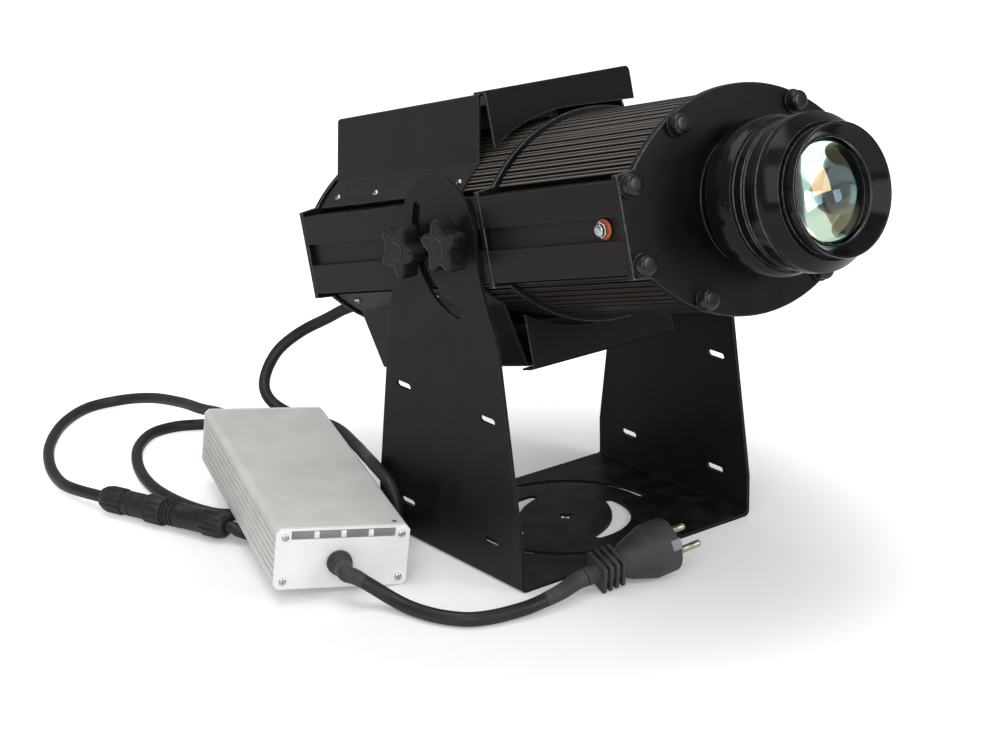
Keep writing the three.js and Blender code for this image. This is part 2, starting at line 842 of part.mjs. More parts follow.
// The front of a hood, above (up 1) or below (up -1): top sheet bent down into a flap that clears the fins
function frontHood(up) {
  const cutRadius = plateRadius + frontHoodPlateGap;
  const footAngle = halfTurn - Math.acos(frontHoodHalf / cutRadius);
  const levelAngle = Math.acos(frontHoodLevelX / cutRadius);
  const flap = [
    [-frontHoodHalf, hoodTopW],
    ...arcPoints(0, -archOffset, cutRadius, footAngle, levelAngle),
    [frontHoodHalf, frontHoodFarFootW],
    [frontHoodHalf, hoodTopW],
  ];
  const roof = [
    [-frontHoodHalf, hoodTopW],
    [-frontHoodHalf, hoodTopW - hoodSheet],
    [frontHoodHalf, hoodTopW - hoodSheet],
    [frontHoodHalf, hoodTopW],
  ];
  const place = (points) => outline(points.map(([x, w]) => [x, up * w]));
  return joined(
    alongLens(place(flap), frontHoodFaceV - hoodSheet, frontHoodFaceV),
    alongLens(place(roof), rearHoodEndV + seatGap, frontHoodFaceV),
  );
}

function makeHoods(head) {
  for (const [place, turn, up] of [["top", 0, 1], ["bottom", halfTurn, -1]]) {
    const rear = addPiece(head, `${place}_rear_hood`, rearHood(), blackCoat);
    rear.rotation.y = turn;
    addPiece(head, `${place}_front_hood`, frontHood(up), blackCoat);
  }
}

// Fans under the rear hoods, standing on the fins. Built flat on z = 0, air along z.
function fanFrame(footDrop, footX) {
  const half = fanSide / 2;
  const holeAt = half - fanHoleInset;
  const square = outline([[-half, -half], [half, -half], [half, half], [-half, half]]);
  square.holes.push(disc(fanBoreRadius));
  for (const x of [-holeAt, holeAt]) {
    for (const y of [-holeAt, holeAt]) square.holes.push(disc(fanHoleRadius, x, y));
  }
  const parts = [extruded(square, fanThickness)];
  const strutLength = 2 * fanBoreRadius + 2 * overrun;
  for (const angle of [quarterTurn / 2, -quarterTurn / 2]) {
    const strut = block(strutLength, fanStrutWidth, fanStrutThickness, 0, 0, fanStrutThickness / 2);
    parts.push(strut.rotateZ(angle));
  }
  parts.push(extruded(disc(fanHubRadius), fanStrutThickness));
  const footHeight = footDrop + overrun;
  for (const x of [-footX, footX]) {
    for (const y of [fanFootWidth / 2 - half, half - fanFootWidth / 2]) {
      parts.push(block(fanFootWidth, fanFootWidth, footHeight, x, y, footHeight / 2 - footDrop));
    }
  }
  const [first, ...rest] = parts;
  const shaftHole = extruded(disc(fanShaftRadius + seatGap), fanStrutThickness + 2 * overrun);
  return cut(joined(first, ...rest), [shaftHole.translate(0, 0, -overrun)]);
}

function fanRotor() {
  const bladeReach = fanBoreRadius - fanTipGap;
  const hubFloor = fanStrutThickness + runningGap;
  const hubHeight = fanThickness - hubFloor - runningGap;
  const hub = extruded(disc(fanHubRadius), hubHeight).translate(0, 0, hubFloor);
  const shaft = extruded(disc(fanShaftRadius), hubFloor + overrun);
  const bladeLength = bladeReach - fanHubRadius + overrun;
  const blades = [];
  for (let i = 0; i < fanBlades; i++) {
    const blade = new THREE.BoxGeometry(bladeLength, fanBladeChord, fanBladeThickness);
    blade.rotateX(fanBladePitchDeg * degree);
    blade.translate(bladeReach - bladeLength / 2, 0, hubFloor + hubHeight / 2);
    blades.push(blade.rotateZ((i / fanBlades) * fullTurn));
  }
  return joined(hub, shaft, ...blades);
}

function makeFans(head) {
  const footAngle = fanFootFin * finPitchDeg * degree;
  const footX = finTipRadius * Math.sin(footAngle);
  const footW = finTipRadius * Math.cos(footAngle - finHalfDeg * degree) - archOffset + seatGap;
  const frameW = finTipRadius - archOffset + seatGap;
  for (const [place, turn] of [["top", 0], ["bottom", halfTurn]]) {
    const seat = new THREE.Group();
    seat.rotation.y = turn;
    const stand = new THREE.Group();
    stand.position.set(0, pivotV - fanV, frameW);
    seat.add(stand);
    head.add(seat);
    addPiece(stand, `${place}_fan_frame`, fanFrame(frameW - footW, footX), blackPlastic);
    addPiece(stand, `${place}_fan_rotor`, fanRotor(), blackPlastic);
  }
}

// Light engine: heat sink filling the bore, LED module, and the condenser in its holder
function makeLightEngine(head) {
  const plate = alongLens(boreOutline(seatGap), sinkBackV, sinkFrontV);
  const envelope = alongLens(boreOutline(seatGap), sinkBackV - sinkFinLength, sinkFrontV);
  const fins = [];
  for (let i = -sinkFinsEachSide; i <= sinkFinsEachSide; i++) {
    const finDepthV = sinkFinLength + overrun;
    const y = pivotV - sinkBackV + sinkFinLength / 2 - overrun / 2;
    fins.push(block(sinkFinThickness, finDepthV, 2 * boreRadius, i * sinkFinPitch, y, 0));
  }
  const sink = joined(plate, ...fins).intersect(solid(envelope));
  addPiece(head, "heat_sink", sink, silver);

  const boardV = sinkFrontV + seatGap;
  const boardY = pivotV - boardV - ledThickness / 2;
  const board = block(ledSide, ledThickness, ledSide, 0, boardY, 0);
  const emitterEnd = boardV + ledThickness + ledEmitterHeight;
  const emitter = rodAlongLens(ledEmitterRadius, boardV, emitterEnd, 0, 0, 20);
  addPiece(head, "led_module", joined(board, emitter), brass);

  const inner = holderRadius - holderWall;
  const endV = boardV + holderLength;
  const lipFrontV = endV - holderLipFromFront;
  const lipBackV = lipFrontV - holderLip;
  const holder = [
    [inner, boardV],
    [holderRadius, boardV],
    [holderRadius, endV],
    [inner, endV],
    [inner, lipFrontV],
    [inner - holderLip, lipFrontV],
    [inner - holderLip, lipBackV],
    [inner, lipBackV],
    [inner, boardV],
  ];
  addPiece(head, "condenser_holder", turnedAlongLens(holder, 20), blackAnodised);
  const lensRadius = inner - seatGap;
  const lensV = lipFrontV + seatGap;
  const lens = lensProfile(lensRadius, lensV, condenserEdge, 0, condenserRise, 4);
  addPiece(head, "condenser_lens", turnedAlongLens(lens, 20), glass);
}

// Half section of a lens: a rim of the given edge between two domes (0 for a flat face), the front one
// drawn in by a flat land
function lensProfile(radius, edgeV, edge, backRise, frontRise, steps, land = 0) {
  const points = [[0, edgeV - backRise]];
  if (backRise > 0) {
    for (let i = 1; i < steps; i++) {
      const angle = (i / steps) * quarterTurn;
      points.push([radius * Math.sin(angle), edgeV - backRise * Math.cos(angle)]);
    }
  }
  points.push([radius, edgeV], [radius, edgeV + edge]);
  if (land > 0) points.push([radius - land, edgeV + edge]);
  for (let i = steps - 1; i >= 1; i--) {
    const angle = (i / steps) * quarterTurn;
    points.push([(radius - land) * Math.sin(angle), edgeV + edge + frontRise * Math.cos(angle)]);
  }
  points.push([0, edgeV + edge + frontRise]);
  return points;
}

// Gear outline with straight-sided teeth, the first tooth at the given angle
function gearOutline(teeth, firstAngle) {
  const pitchRadius = (gearModule * teeth) / 2;
  const tip = pitchRadius + toothAddendumShare * gearModule;
  const root = pitchRadius - toothDedendumShare * gearModule;
  const tipHalf = (toothTipHalfShare * gearModule) / tip;
  const rootHalf = (toothRootHalfShare * gearModule) / root;
  const points = [];
  for (let i = 0; i < teeth; i++) {
    const angle = firstAngle + (i / teeth) * fullTurn;
    for (const [radius, offset] of [[root, -rootHalf], [tip, -tipHalf], [tip, tipHalf], [root, rootHalf]]) {
      points.push([radius * Math.cos(angle + offset), radius * Math.sin(angle + offset)]);
    }
  }
  return outline(points);
}

// Gobo stage: a bulkhead with a boss that the gobo's gear turns on, and the motor that drives it
function makeGoboStage(head) {
  const centreDistance = (gearModule * (gearTeeth + pinionTeeth)) / 2;
  const gearV = stageFrontV + gearAxialGap;
  const bossEndV = stageFrontV + stageBossLength;
  const plate = alongLens(boreOutline(seatGap), stageBackV, stageFrontV);
  const boss = rodAlongLens(stageBossRadius, stageBackV, bossEndV, 0, 0, 28);
  const stageHoles = [
    rodAlongLens(stageApertureRadius, stageBackV - overrun, bossEndV + overrun, 0, 0, 28),
    rodAlongLens(motorShaftRadius + runningGap, stageBackV - overrun, stageFrontV + overrun, centreDistance, 0),
  ];
  addPiece(head, "gobo_stage", cut(joined(plate, boss), stageHoles), blackAnodised);

  const pocketV = bossEndV + runningGap;
  const glassV = pocketV + seatGap;
  const clipV = glassV + goboThickness + seatGap;
  const rimEndV = clipV + clipThickness + seatGap;
  const pocketRadius = goboRadius + seatGap;
  const toothed = alongLens(gearOutline(gearTeeth, 0), gearV, gearV + gearFace);
  const rim = rodAlongLens(pocketRadius + goboRimWall, gearV, rimEndV, 0, 0, 28);
  const gearHoles = [
    rodAlongLens(stageBossRadius + runningGap, gearV - overrun, rimEndV + overrun, 0, 0, 28),
    rodAlongLens(pocketRadius, pocketV, rimEndV + overrun, 0, 0, 28),
  ];
  addPiece(head, "gobo_gear", cut(joined(toothed, rim), gearHoles), brass);
  addPiece(head, "gobo_glass", rodAlongLens(goboRadius, glassV, glassV + goboThickness, 0, 0, 28), glass);
  const clipHalfGap = (clipGapDeg / 2) * degree;
  const clip = outline([
    ...arcPoints(0, 0, goboRadius, clipHalfGap, fullTurn - clipHalfGap),
    ...arcPoints(0, 0, goboRadius - clipWidth, fullTurn - clipHalfGap, clipHalfGap),
  ]);
  addPiece(head, "gobo_clip", alongLens(clip, clipV, clipV + clipThickness), zinc);

  const motorEndV = stageBackV - seatGap;
  const shaftBackV = motorEndV - motorShaftDepth;
  const body = solid(rodAlongLens(motorRadius, motorEndV - motorLength, motorEndV, centreDistance, 0, 20));
  const shaftHole = rodAlongLens(
    motorShaftRadius + runningGap,
    shaftBackV - seatGap,
    motorEndV + overrun,
    centreDistance,
    0,
  );
  addPiece(head, "gobo_motor", cut(body, [shaftHole]), silver);
  const pinionShape = gearOutline(pinionTeeth, halfTurn + halfTurn / pinionTeeth);
  const pinionTeethSolid = alongLens(pinionShape, gearV, gearV + gearFace);
  const shaft = rodAlongLens(motorShaftRadius, shaftBackV, gearV + overrun, 0, 0, 12);
  const pinion = addPiece(head, "motor_pinion", joined(pinionTeethSolid, shaft), brass);
  pinion.position.x = centreDistance;
}

// Projection lens: collar on the front cover, sliding barrel, focus ring and the bezel
function makeLens(head) {
  const collarV = frontFaceV + seatGap;
  const floorV = collarRingBackV + collarRingFloor;
  const tailBore = barrelTailRadius + runningGap;
  const chamferV = collarRingEndV - collarChamferLength;
  const bodyBore = barrelBodyRadius + runningGap;
  const collar = [
    [tailBore, collarV],
    [collarFlangeRadius, collarV],
    [collarFlangeRadius, collarV + collarFlangeThickness],
    [collarNeckRadius, collarV + collarFlangeThickness],
    [collarNeckRadius, collarRingBackV],
    [collarRingRadius, collarRingBackV],
    [collarRingRadius, chamferV],
    [collarRingRadius - collarChamferDrop, collarRingEndV],
    [bodyBore, collarRingEndV],
    [bodyBore, floorV],
    [tailBore, floorV],
    [tailBore, collarV],
  ];
  const screwAngle = lockScrewDeg * degree;
  const screwOuter = collarRingRadius + seatGap;
  const screwHole = rod(lockScrewRadius + seatGap, collarRingRadius, 10);
  screwHole.rotateZ(-quarterTurn).translate(collarRingRadius, 0, 0).rotateY(-screwAngle);
  screwHole.translate(0, pivotV - lockScrewV, 0);
  const collarSolid = cut(solid(turnedAlongLens(collar, lensSides)), [screwHole]);
  addPiece(head, "lens_collar", collarSolid, blackGloss);
  const screw = rod(lockScrewRadius, screwOuter - bodyBore, 10).rotateZ(-quarterTurn);
  screw.translate((screwOuter + bodyBore) / 2, 0, 0).rotateY(-screwAngle);
  const screwPiece = addPiece(head, "focus_lock_screw", screw, blackGloss);
  screwPiece.position.y = pivotV - lockScrewV;

  const lensPocket = rearLensRadius + seatGap;
  const rearSeatV = barrelTailStartV + rearLensEdge + 2 * seatGap;
  const frontPocket = frontLensRadius + seatGap;
  const grooveEndV = barrelGrooveV + 2 * barrelGrooveSize;
  const barrel = [
    [lensPocket, barrelTailStartV],
    [barrelTailRadius, barrelTailStartV],
    [barrelTailRadius, barrelBodyStartV],
    [barrelBodyRadius, barrelBodyStartV],
    [barrelBodyRadius, barrelGrooveV],
    [barrelBodyRadius - barrelGrooveSize, barrelGrooveV + barrelGrooveSize],
    [barrelBodyRadius, grooveEndV],
    [barrelBodyRadius, barrelBodyEndV],
    [barrelNoseRadius, barrelBodyEndV],
    [barrelNoseRadius, barrelNoseEndV],
    [frontPocket, barrelNoseEndV],
    [frontPocket, frontLensSeatV],
    [frontPocket - frontLensLip, frontLensSeatV],
    [barrelTailBore, barrelBodyStartV],
    [barrelTailBore, rearSeatV],
    [lensPocket, rearSeatV],
    [lensPocket, barrelTailStartV],
  ];
  addPiece(head, "lens_barrel", turnedAlongLens(barrel, lensSides), blackGloss);

  const ringV = barrelBodyEndV + seatGap;
  const ringEndV = ringV + focusRingLength;
  const ringBore = barrelNoseRadius + runningGap;
  const ring = [
    [ringBore, ringV],
    [focusRingRadius, ringV],
    [focusRingRadius, ringV + focusRingFlatLength],
    [focusRingNoseRadius, ringEndV],
    [ringBore, ringEndV],
    [ringBore, ringV],
  ];
  addPiece(head, "focus_ring", turnedAlongLens(ring, lensSides), blackGloss);

  const bezelV = barrelNoseEndV + seatGap;
  const bezelEndV = bezelV + bezelLength;
  const lipRadius = frontPocket - frontLensLip;
  const bezel = [
    [lipRadius, bezelV],
    [barrelNoseRadius, bezelV],
    [bezelFrontRadius, bezelEndV],
    [bezelFrontRadius - bezelRimWidth, bezelEndV],
    [lipRadius, bezelV + bezelLipThickness],
    [lipRadius, bezelV],
  ];
  addPiece(head, "lens_bezel", turnedAlongLens(bezel, lensSides), blackGloss);

  const frontEdgeV = frontLensSeatV + seatGap;
  const front = lensProfile(frontLensRadius, frontEdgeV, frontLensEdge, 0, frontLensRise, 4, frontLensLand);
  addPiece(head, "front_lens", turnedAlongLens(front, lensSides), glass);
  const rearEdgeV = rearSeatV - seatGap - rearLensEdge;
  const rear = lensProfile(rearLensRadius, rearEdgeV, rearLensEdge, rearLensRise, 0, 3);
  addPiece(head, "rear_lens", turnedAlongLens(rear, lensSides), glass);
}

// Vent valve with its seal in the left groove
function makeVent(head) {
  const sealX = grooveFloor + seatGap;
  const baseX = sealX + ventSealThickness + seatGap;
  const domeX = baseX + ventBaseThickness;
  const stemX = grooveFloor - ventStemLength;
  const valve = [
    [0, stemX],
    [ventStemRadius, stemX],
    [ventStemRadius, baseX],
    [ventBaseRadius, baseX],
    [ventBaseRadius, domeX],
    [ventDomeRadius, domeX],
    [ventDomeRadius / 2, domeX + ventDomeHeight],
    [0, domeX + ventDomeHeight],
  ];
  const seal = [
    [ventStemRadius + seatGap, sealX],
    [ventSealRadius, sealX],
    [ventSealRadius, sealX + ventSealThickness],
    [ventStemRadius + seatGap, sealX + ventSealThickness],
    [ventStemRadius + seatGap, sealX],
  ];
  for (const [name, profile, material] of [
    ["vent_valve", valve, zinc],
    ["vent_seal", seal, orangeRubber],
  ]) {
    const geometry = turned(profile, 14).rotateZ(quarterTurn).translate(0, pivotV - ventV, 0);
    addPiece(head, name, geometry, material);
  }
}

// Cable gland pointing along +y from y = 0, its stem going back through a wall
function glandProfile(stemLength) {
  return [
    [0, -stemLength],
    [glandStemRadius, -stemLength],
    [glandStemRadius, seatGap],
    [glandHexRadius, seatGap],
    [glandHexRadius, glandHexLength],
    [glandNutRadius, glandHexLength],
    [glandNutRadius, glandHexLength + glandNutLength / 2],
    [glandMouthRadius, glandHexLength + glandNutLength],
    [0, glandHexLength + glandNutLength],
  ];
}

const glandLength = glandHexLength + glandNutLength;

function makeHeadGland(head) {
  const gland = turned(glandProfile(rearCoverThickness + overrun), 14);
  gland.translate(headGlandX, pivotV - rearCoverV, headGlandW);
  addPiece(head, "head_gland", gland, blackPlastic);
}

// Driver: a ribbed extruded case with end plates, its circuit board on ledges, and two cable entries
function driverSection() {
  const pitch = (driverHeight - 2 * driverRibMargin) / (2 * driverRibs - 1);
  const points = [[driverWidth - driverCorner, 0], [driverWidth, driverCorner]];
  for (let i = 0; i < driverRibs; i++) {
    const low = driverRibMargin + 2 * i * pitch;
    const floor = driverWidth - driverRibDepth;
    if (i > 0) points.push([floor, low], [driverWidth, low]);
    if (i < driverRibs - 1) points.push([driverWidth, low + pitch], [floor, low + pitch]);
  }
  points.push([driverWidth, driverHeight - driverCorner], [driverWidth - driverCorner, driverHeight]);
  const left = points.map(([x, z]) => [driverWidth - x, z]).reverse();
  const shape = outline([...points, ...left]);
  const wall = driverWall + driverRibDepth;
  const ledgeTop = driverLedgeZ + driverLedgeHeight;
  const cavity = [
    [wall, driverWall],
    [driverWidth - wall, driverWall],
    [driverWidth - wall, driverLedgeZ],
    [driverWidth - wall - driverLedge, driverLedgeZ],
    [driverWidth - wall - driverLedge, ledgeTop],
    [driverWidth - wall, ledgeTop],
    [driverWidth - wall, driverHeight - driverWall],
    [wall, driverHeight - driverWall],
    [wall, ledgeTop],
    [wall + driverLedge, ledgeTop],
    [wall + driverLedge, driverLedgeZ],
    [wall, driverLedgeZ],
  ];
  shape.holes.push(outline(cavity));
  return shape;
}

// An outline in x and z pushed along +y
function alongDriver(shape, fromY, toY) {
  return extruded(shape, toY - fromY).rotateX(quarterTurn).translate(0, toY, 0);
}

function driverPlateShape() {
  const right = driverWidth - driverCorner;
  const top = driverHeight - driverCorner;
  return outline([
    [driverCorner, 0],
    [right, 0],
    [driverWidth, driverCorner],
    [driverWidth, top],
    [right, driverHeight],
    [driverCorner, driverHeight],
    [0, top],
    [0, driverCorner],
  ]);
}

function makeDriver(parent) {
  const driver = new THREE.Group();
  const pitch = driverPitchDeg * degree;
  const roll = driverRollDeg * degree;
  driver.rotation.set(pitch, roll, driverYawDeg * degree, "ZYX");
  driver.position.set(driverX, driverY, driverWidth * Math.sin(roll) * Math.cos(pitch));
  parent.add(driver);

  const caseStart = driverPlate + seatGap;
  const caseEnd = driverLength - driverPlate - seatGap;
  const topHole = rod(driverHoleRadius, 2 * (driverWall + overrun), 10).rotateX(quarterTurn);
  topHole.translate(driverHoleX, driverHoleY, driverHeight);
  const caseSolid = solid(alongDriver(driverSection(), caseStart, caseEnd));
  addPiece(driver, "driver_case", cut(caseSolid, [topHole]), silver);

  const stripTop = driverHeight - driverStripDrop;
  const strip = block(
    driverStripWidth,
    2 * driverStripDepth,
    driverStripHeight,
    driverWidth / 2,
    0,
    stripTop - driverStripHeight / 2,
  );
  const mainsHole = rod(glandStemRadius + seatGap, 2 * driverPlate + overrun, 16);
  mainsHole.translate(mainsGlandX, driverPlate / 2, mainsGlandZ);
  const frontPlate = solid(alongDriver(driverPlateShape(), 0, driverPlate));
  addPiece(driver, "driver_front_plate", cut(frontPlate, [strip, mainsHole]), silver);
  const powerHole = rod(glandStemRadius + seatGap, 2 * driverPlate + overrun, 16);
  powerHole.translate(powerGlandX, driverLength - driverPlate / 2, powerGlandZ);
  const rearPlate = solid(alongDriver(driverPlateShape(), driverLength - driverPlate, driverLength));
  addPiece(driver, "driver_rear_plate", cut(rearPlate, [powerHole]), silver);

  const boardZ = driverLedgeZ + driverLedgeHeight + seatGap;
  const boardWidth = driverWidth - 2 * (driverWall + driverRibDepth + seatGap);
  const boardLength = driverLength - 2 * (driverPlate + boardEndGap);
  const middle = driverLength / 2;
  const partsZ = boardZ + boardThickness;
  const boardParts = [
    block(boardWidth, boardLength, boardThickness, driverWidth / 2, middle, boardZ + boardThickness / 2),
  ];
  for (const step of [-1, 1]) {
    const coilHeight = coilBlockHeight + overrun;
    const y = middle + step * coilBlockSide;
    const z = partsZ + coilBlockHeight / 2 - overrun / 2;
    boardParts.push(block(coilBlockSide, coilBlockSide, coilHeight, driverWidth / 2, y, z));
    const capacitor = rod(capacitorRadius, capacitorHeight + overrun, 12).rotateX(quarterTurn);
    const capacitorY = middle + 2 * step * coilBlockSide;
    capacitor.translate(driverWidth / 2, capacitorY, partsZ + capacitorHeight / 2 - overrun / 2);
    boardParts.push(capacitor);
  }
  addPiece(driver, "driver_board", joined(...boardParts), boardGreen);

  const stem = driverPlate + seatGap;
  const mainsGland = turned(
    [
      [0, -stem],
      [glandStemRadius, -stem],
      [glandStemRadius, seatGap],
      [mainsGlandRadius, seatGap],
      [mainsGlandRadius, mainsGlandLength / 2],
      [glandMouthRadius, mainsGlandLength],
      [0, mainsGlandLength],
    ],
    14,
  );
  mainsGland.rotateX(halfTurn).translate(mainsGlandX, 0, mainsGlandZ);
  addPiece(driver, "mains_gland", mainsGland, blackPlastic);
  const powerGland = turned(glandProfile(stem), 14).translate(powerGlandX, driverLength, powerGlandZ);
  addPiece(driver, "power_gland", powerGland, blackPlastic);
  return driver;
}

function chamferedSquare(half, corner) {
  const side = half - corner;
  return [
    [side, -half],
    [half, -side],
    [half, side],
    [side, half],
    [-side, half],
    [-half, side],
    [-half, -side],
    [-side, -half],
  ];
}

const plugGripEnd = plugNeckDepth + (plugRibs - 1) * plugRibPitch + plugRibThickness;
const plugLength = plugGripEnd + plugTailLength;

// Mains plug: the face at y = 0, pins along +y, body, ribbed grip and tail along -y
function makePlug(parent) {
  const plug = new THREE.Group();
  const heading = plugHeadingDeg * degree - quarterTurn;
  plug.rotation.set(plugRiseDeg * degree, plugRollDeg * degree, heading, "ZXY");
  plug.position.copy(plugFace);
  parent.add(plug);
  const profile = [
    [0, 0],
    [plugRadius, 0],
    [plugRadius, -plugDiscDepth],
    [plugShoulderRadius, -plugShoulderDepth],
    [plugNeckRadius, -plugNeckDepth],
    [plugNeckRadius, -plugGripEnd],
    [plugTailRadius, -plugGripEnd],
    [plugTailRadius, -plugLength],
    [0, -plugLength],
  ];
  const ribOutline = outline(chamferedSquare(plugRibHalf, plugRibCorner));
  const ribs = [];
  for (let i = 0; i < plugRibs; i++) {
    const front = -plugNeckDepth - i * plugRibPitch;
    ribs.push(alongDriver(ribOutline, front - plugRibThickness, front));
  }
  const pins = [-1, 1].map((side) => {
    const pin = rod(plugPinRadius, plugPinLength + overrun, 8);
    return pin.translate((side * plugPinSpacing) / 2, plugPinLength / 2 - overrun / 2, 0);
  });
  addPiece(plug, "mains_plug", joined(turned(profile, 16), ...ribs, ...pins), greyRubber);
  return plug;
}

// Inline connector on the floor: cable entry at y = 0, its axis along +y
function makeConnector(parent) {
  const connector = new THREE.Group();
  connector.rotation.z = connectorHeadingDeg * degree - quarterTurn;
  connector.position.set(connectorX, connectorY, couplingRadius + seatGap);
  parent.add(connector);
  const bodyEnd = connectorNutLength + connectorBodyLength;
  const socket = [
    [0, 0],
    [connectorBodyRadius - connectorGrooveDepth, 0],
    [connectorNutRadius, connectorNutLength / 4],
    [connectorNutRadius, connectorNutLength],
    [connectorBodyRadius, connectorNutLength],
    [connectorBodyRadius, bodyEnd],
    [spigotRadius, bodyEnd],
    [spigotRadius, bodyEnd + spigotLength],
    [0, bodyEnd + spigotLength],
  ];
  addPiece(connector, "connector_socket", turned(socket, 14), blackPlastic);
  const nutStart = bodyEnd + seatGap;
  const nutEnd = nutStart + couplingLength;
  const nutBore = spigotRadius + seatGap;
  const nut = [
    [nutBore, nutStart],
    [couplingRadius, nutStart],
    [couplingRadius, nutEnd],
    [nutBore, nutEnd],
    [nutBore, nutStart],
  ];
  addPiece(connector, "connector_nut", turned(nut, 14), blackPlastic);
  const plugStart = nutEnd + seatGap;
  const zoneEnd = plugStart + connectorGrooveZone;
  const backEnd = zoneEnd + connectorBackLength;
  const end = backEnd + connectorBackNutLength;
  const groove = connectorGrooveZone / (2 * connectorGrooves);
  const plug = [[0, plugStart - spigotLength], [spigotRadius, plugStart - spigotLength], [spigotRadius, plugStart]];
  for (let i = 0; i < connectorGrooves; i++) {
    const at = plugStart + 2 * i * groove;
    const deep = connectorBodyRadius - connectorGrooveDepth;
    plug.push([connectorBodyRadius, at], [connectorBodyRadius, at + groove]);
    plug.push([deep, at + groove], [deep, at + 2 * groove]);
  }
  plug.push(
    [connectorBodyRadius, zoneEnd],
    [connectorBodyRadius, backEnd],
    [connectorNutRadius, backEnd],
    [connectorNutRadius, end - connectorBackNutLength / 4],
    [connectorBodyRadius - connectorGrooveDepth, end],
    [0, end],
  );
  addPiece(connector, "connector_plug", turned(plug, 14), blackPlastic);
  return { group: connector, end };
}

// A cord: a tube of the given diameter that leaves one entry and meets another, through chosen points
function cord(diameter, start, points, end) {
  const path = [
    start.at(seatGap),
    start.at(seatGap + diameter),
    ...points.map(([x, y, z]) => new THREE.Vector3(x, y, z)),
    end.at(seatGap + diameter / 2),
    end.at(seatGap),
  ];
  const curve = new THREE.CatmullRomCurve3(path, false, "centripetal");
  const steps = Math.ceil(curve.getLength() / (cordStepShare * diameter));
  const section = [];
  for (let i = 0; i < cordSides; i++) {
    const angle = (i / cordSides) * fullTurn;
    section.push([(diameter / 2) * Math.cos(angle), (diameter / 2) * Math.sin(angle)]);
  }
  return new THREE.ExtrudeGeometry(outline(section), { steps, bevelEnabled: false, extrudePath: curve });
}

// The mouth of an entry: places on its axis, counted outwards from its end face
function mouth(group, x, y, z, outward) {
  group.updateWorldMatrix(true, false);
  return {
    at(distance) {
      return group.localToWorld(new THREE.Vector3(x, y + outward * distance, z));
    },
  };
}

// Routes chosen by hand, in the bracket frame
const mainsRoute = [
  [-194.5, -23, 20.3],
  [-187, -31.5, 14],
  [-181, -43, 8.3],
  [-176.5, -57, 5.2],
  [-171.5, -75, 4.9],
  [-165, -87.5, 4.9],
  [-157.4, -96.2, 4.9],
  [-145.9, -102, 4.9],
  [-132.5, -105.5, 5.2],
  [-118.7, -108.3, 6.2],
  [-106.7, -109, 7.5],
  [-93.2, -108.9, 9.2],
];
const powerRoute = [
  [-119, 272, 35],
  [-116.5, 300, 29.5],
  [-110.6, 345, 21.7],
  [-112.5, 391.5, 13.5],
  [-124, 421, 6.5],
  [-148.6, 428, 4.5],
  [-180.8, 409.2, 4.5],
  [-214.1, 369.6, 4.5],
  [-234.1, 330.3, 4.5],
  [-244, 297, 5],
  [-248, 270, 8],
];
const headRoute = [
  [-40, 208.9, 115.9],
  [-46.7, 222.7, 107.1],
  [-60.4, 241.9, 93.9],
  [-75.2, 250.8, 80.6],
  [-88.1, 248.6, 66.6],
  [-94.9, 241.4, 57.1],
  [-95.1, 233.8, 49.7],
  [-88.1, 223.4, 41.6],
  [-74.6, 212.2, 35.5],
  [-65.6, 194, 32.1],
  [-79.3, 144.2, 35.1],
  [-92.4, 112.2, 39.4],
  [-106.5, 81.1, 45.3],
  [-113.4, 51.4, 40.6],
  [-114.8, 42.8, 30.7],
  [-115.4, 41.6, 21.6],
  [-115.9, 43.3, 15.5],
  [-116.2, 46.4, 10.6],
  [-116.5, 52.1, 6.4],
  [-116.5, 59.8, 4.6],
  [-114.3, 72.1, 4.5],
  [-110.5, 80.5, 4.5],
  [-99, 110, 4.5],
  [-90, 140, 4.5],
  [-79.9, 170, 4.5],
  [-68.1, 202, 4.5],
  [-60.3, 232, 4.5],
  [-60.2, 262, 4.5],
  [-68.3, 291.9, 4.5],
  [-83, 316, 4.5],
  [-100.8, 331, 4.5],
  [-119, 340.5, 4.5],
  [-139, 340, 4.5],
  [-161, 322.7, 4.5],
  [-178.7, 295.5, 4.5],
  [-192.5, 259.3, 4.5],
  [-198, 226, 4.5],
  [-195.5, 185, 4.5],
  [-187.3, 160.7, 4.5],
  [-180.8, 154.2, 4.5],
  [-160.8, 139.8, 4.5],
  [-156.2, 123.8, 4.5],
  [-162.9, 109.5, 4.5],
  [-174.9, 103.5, 5],
  [-187.8, 105.6, 5.8],
  [-198.4, 115, 9.2],
];

function makeCords(parent, head, driver, plug, connector) {
  const mainsStart = mouth(driver, mainsGlandX, -mainsGlandLength, mainsGlandZ, -1);
  const plugEnd = mouth(plug, 0, -plugLength, 0, -1);
  const mains = cord(mainsCordDiameter, mainsStart, mainsRoute, plugEnd);
  addPiece(parent, "mains_cord", mains, cordBlack);

  const powerStart = mouth(driver, powerGlandX, driverLength + glandLength, powerGlandZ, 1);
  const socketEnd = mouth(connector.group, 0, 0, 0, -1);
  addPiece(parent, "power_cable", cord(cordDiameter, powerStart, powerRoute, socketEnd), cordBlack);

  const headStart = mouth(head, headGlandX, pivotV - rearCoverV + glandLength, headGlandW, 1);
  const connectorEnd = mouth(connector.group, 0, connector.end, 0, 1);
  addPiece(parent, "head_cable", cord(cordDiameter, headStart, headRoute, connectorEnd), cordBlack);
}

const projector = new THREE.Group();
const stand = new THREE.Group();
projector.add(stand);
makeBracket(stand);
const head = new THREE.Group();
head.position.set(0, pivotY, pivotZ);
head.rotation.x = -headTilt;
stand.add(head);
makeHousings(head);
makeThumbNuts(head);
makeKnobs(head);
makeHoods(head);
makeFans(head);
makeLightEngine(head);
makeGoboStage(head);
makeLens(head);
makeVent(head);
makeHeadGland(head);
const driver = makeDriver(stand);

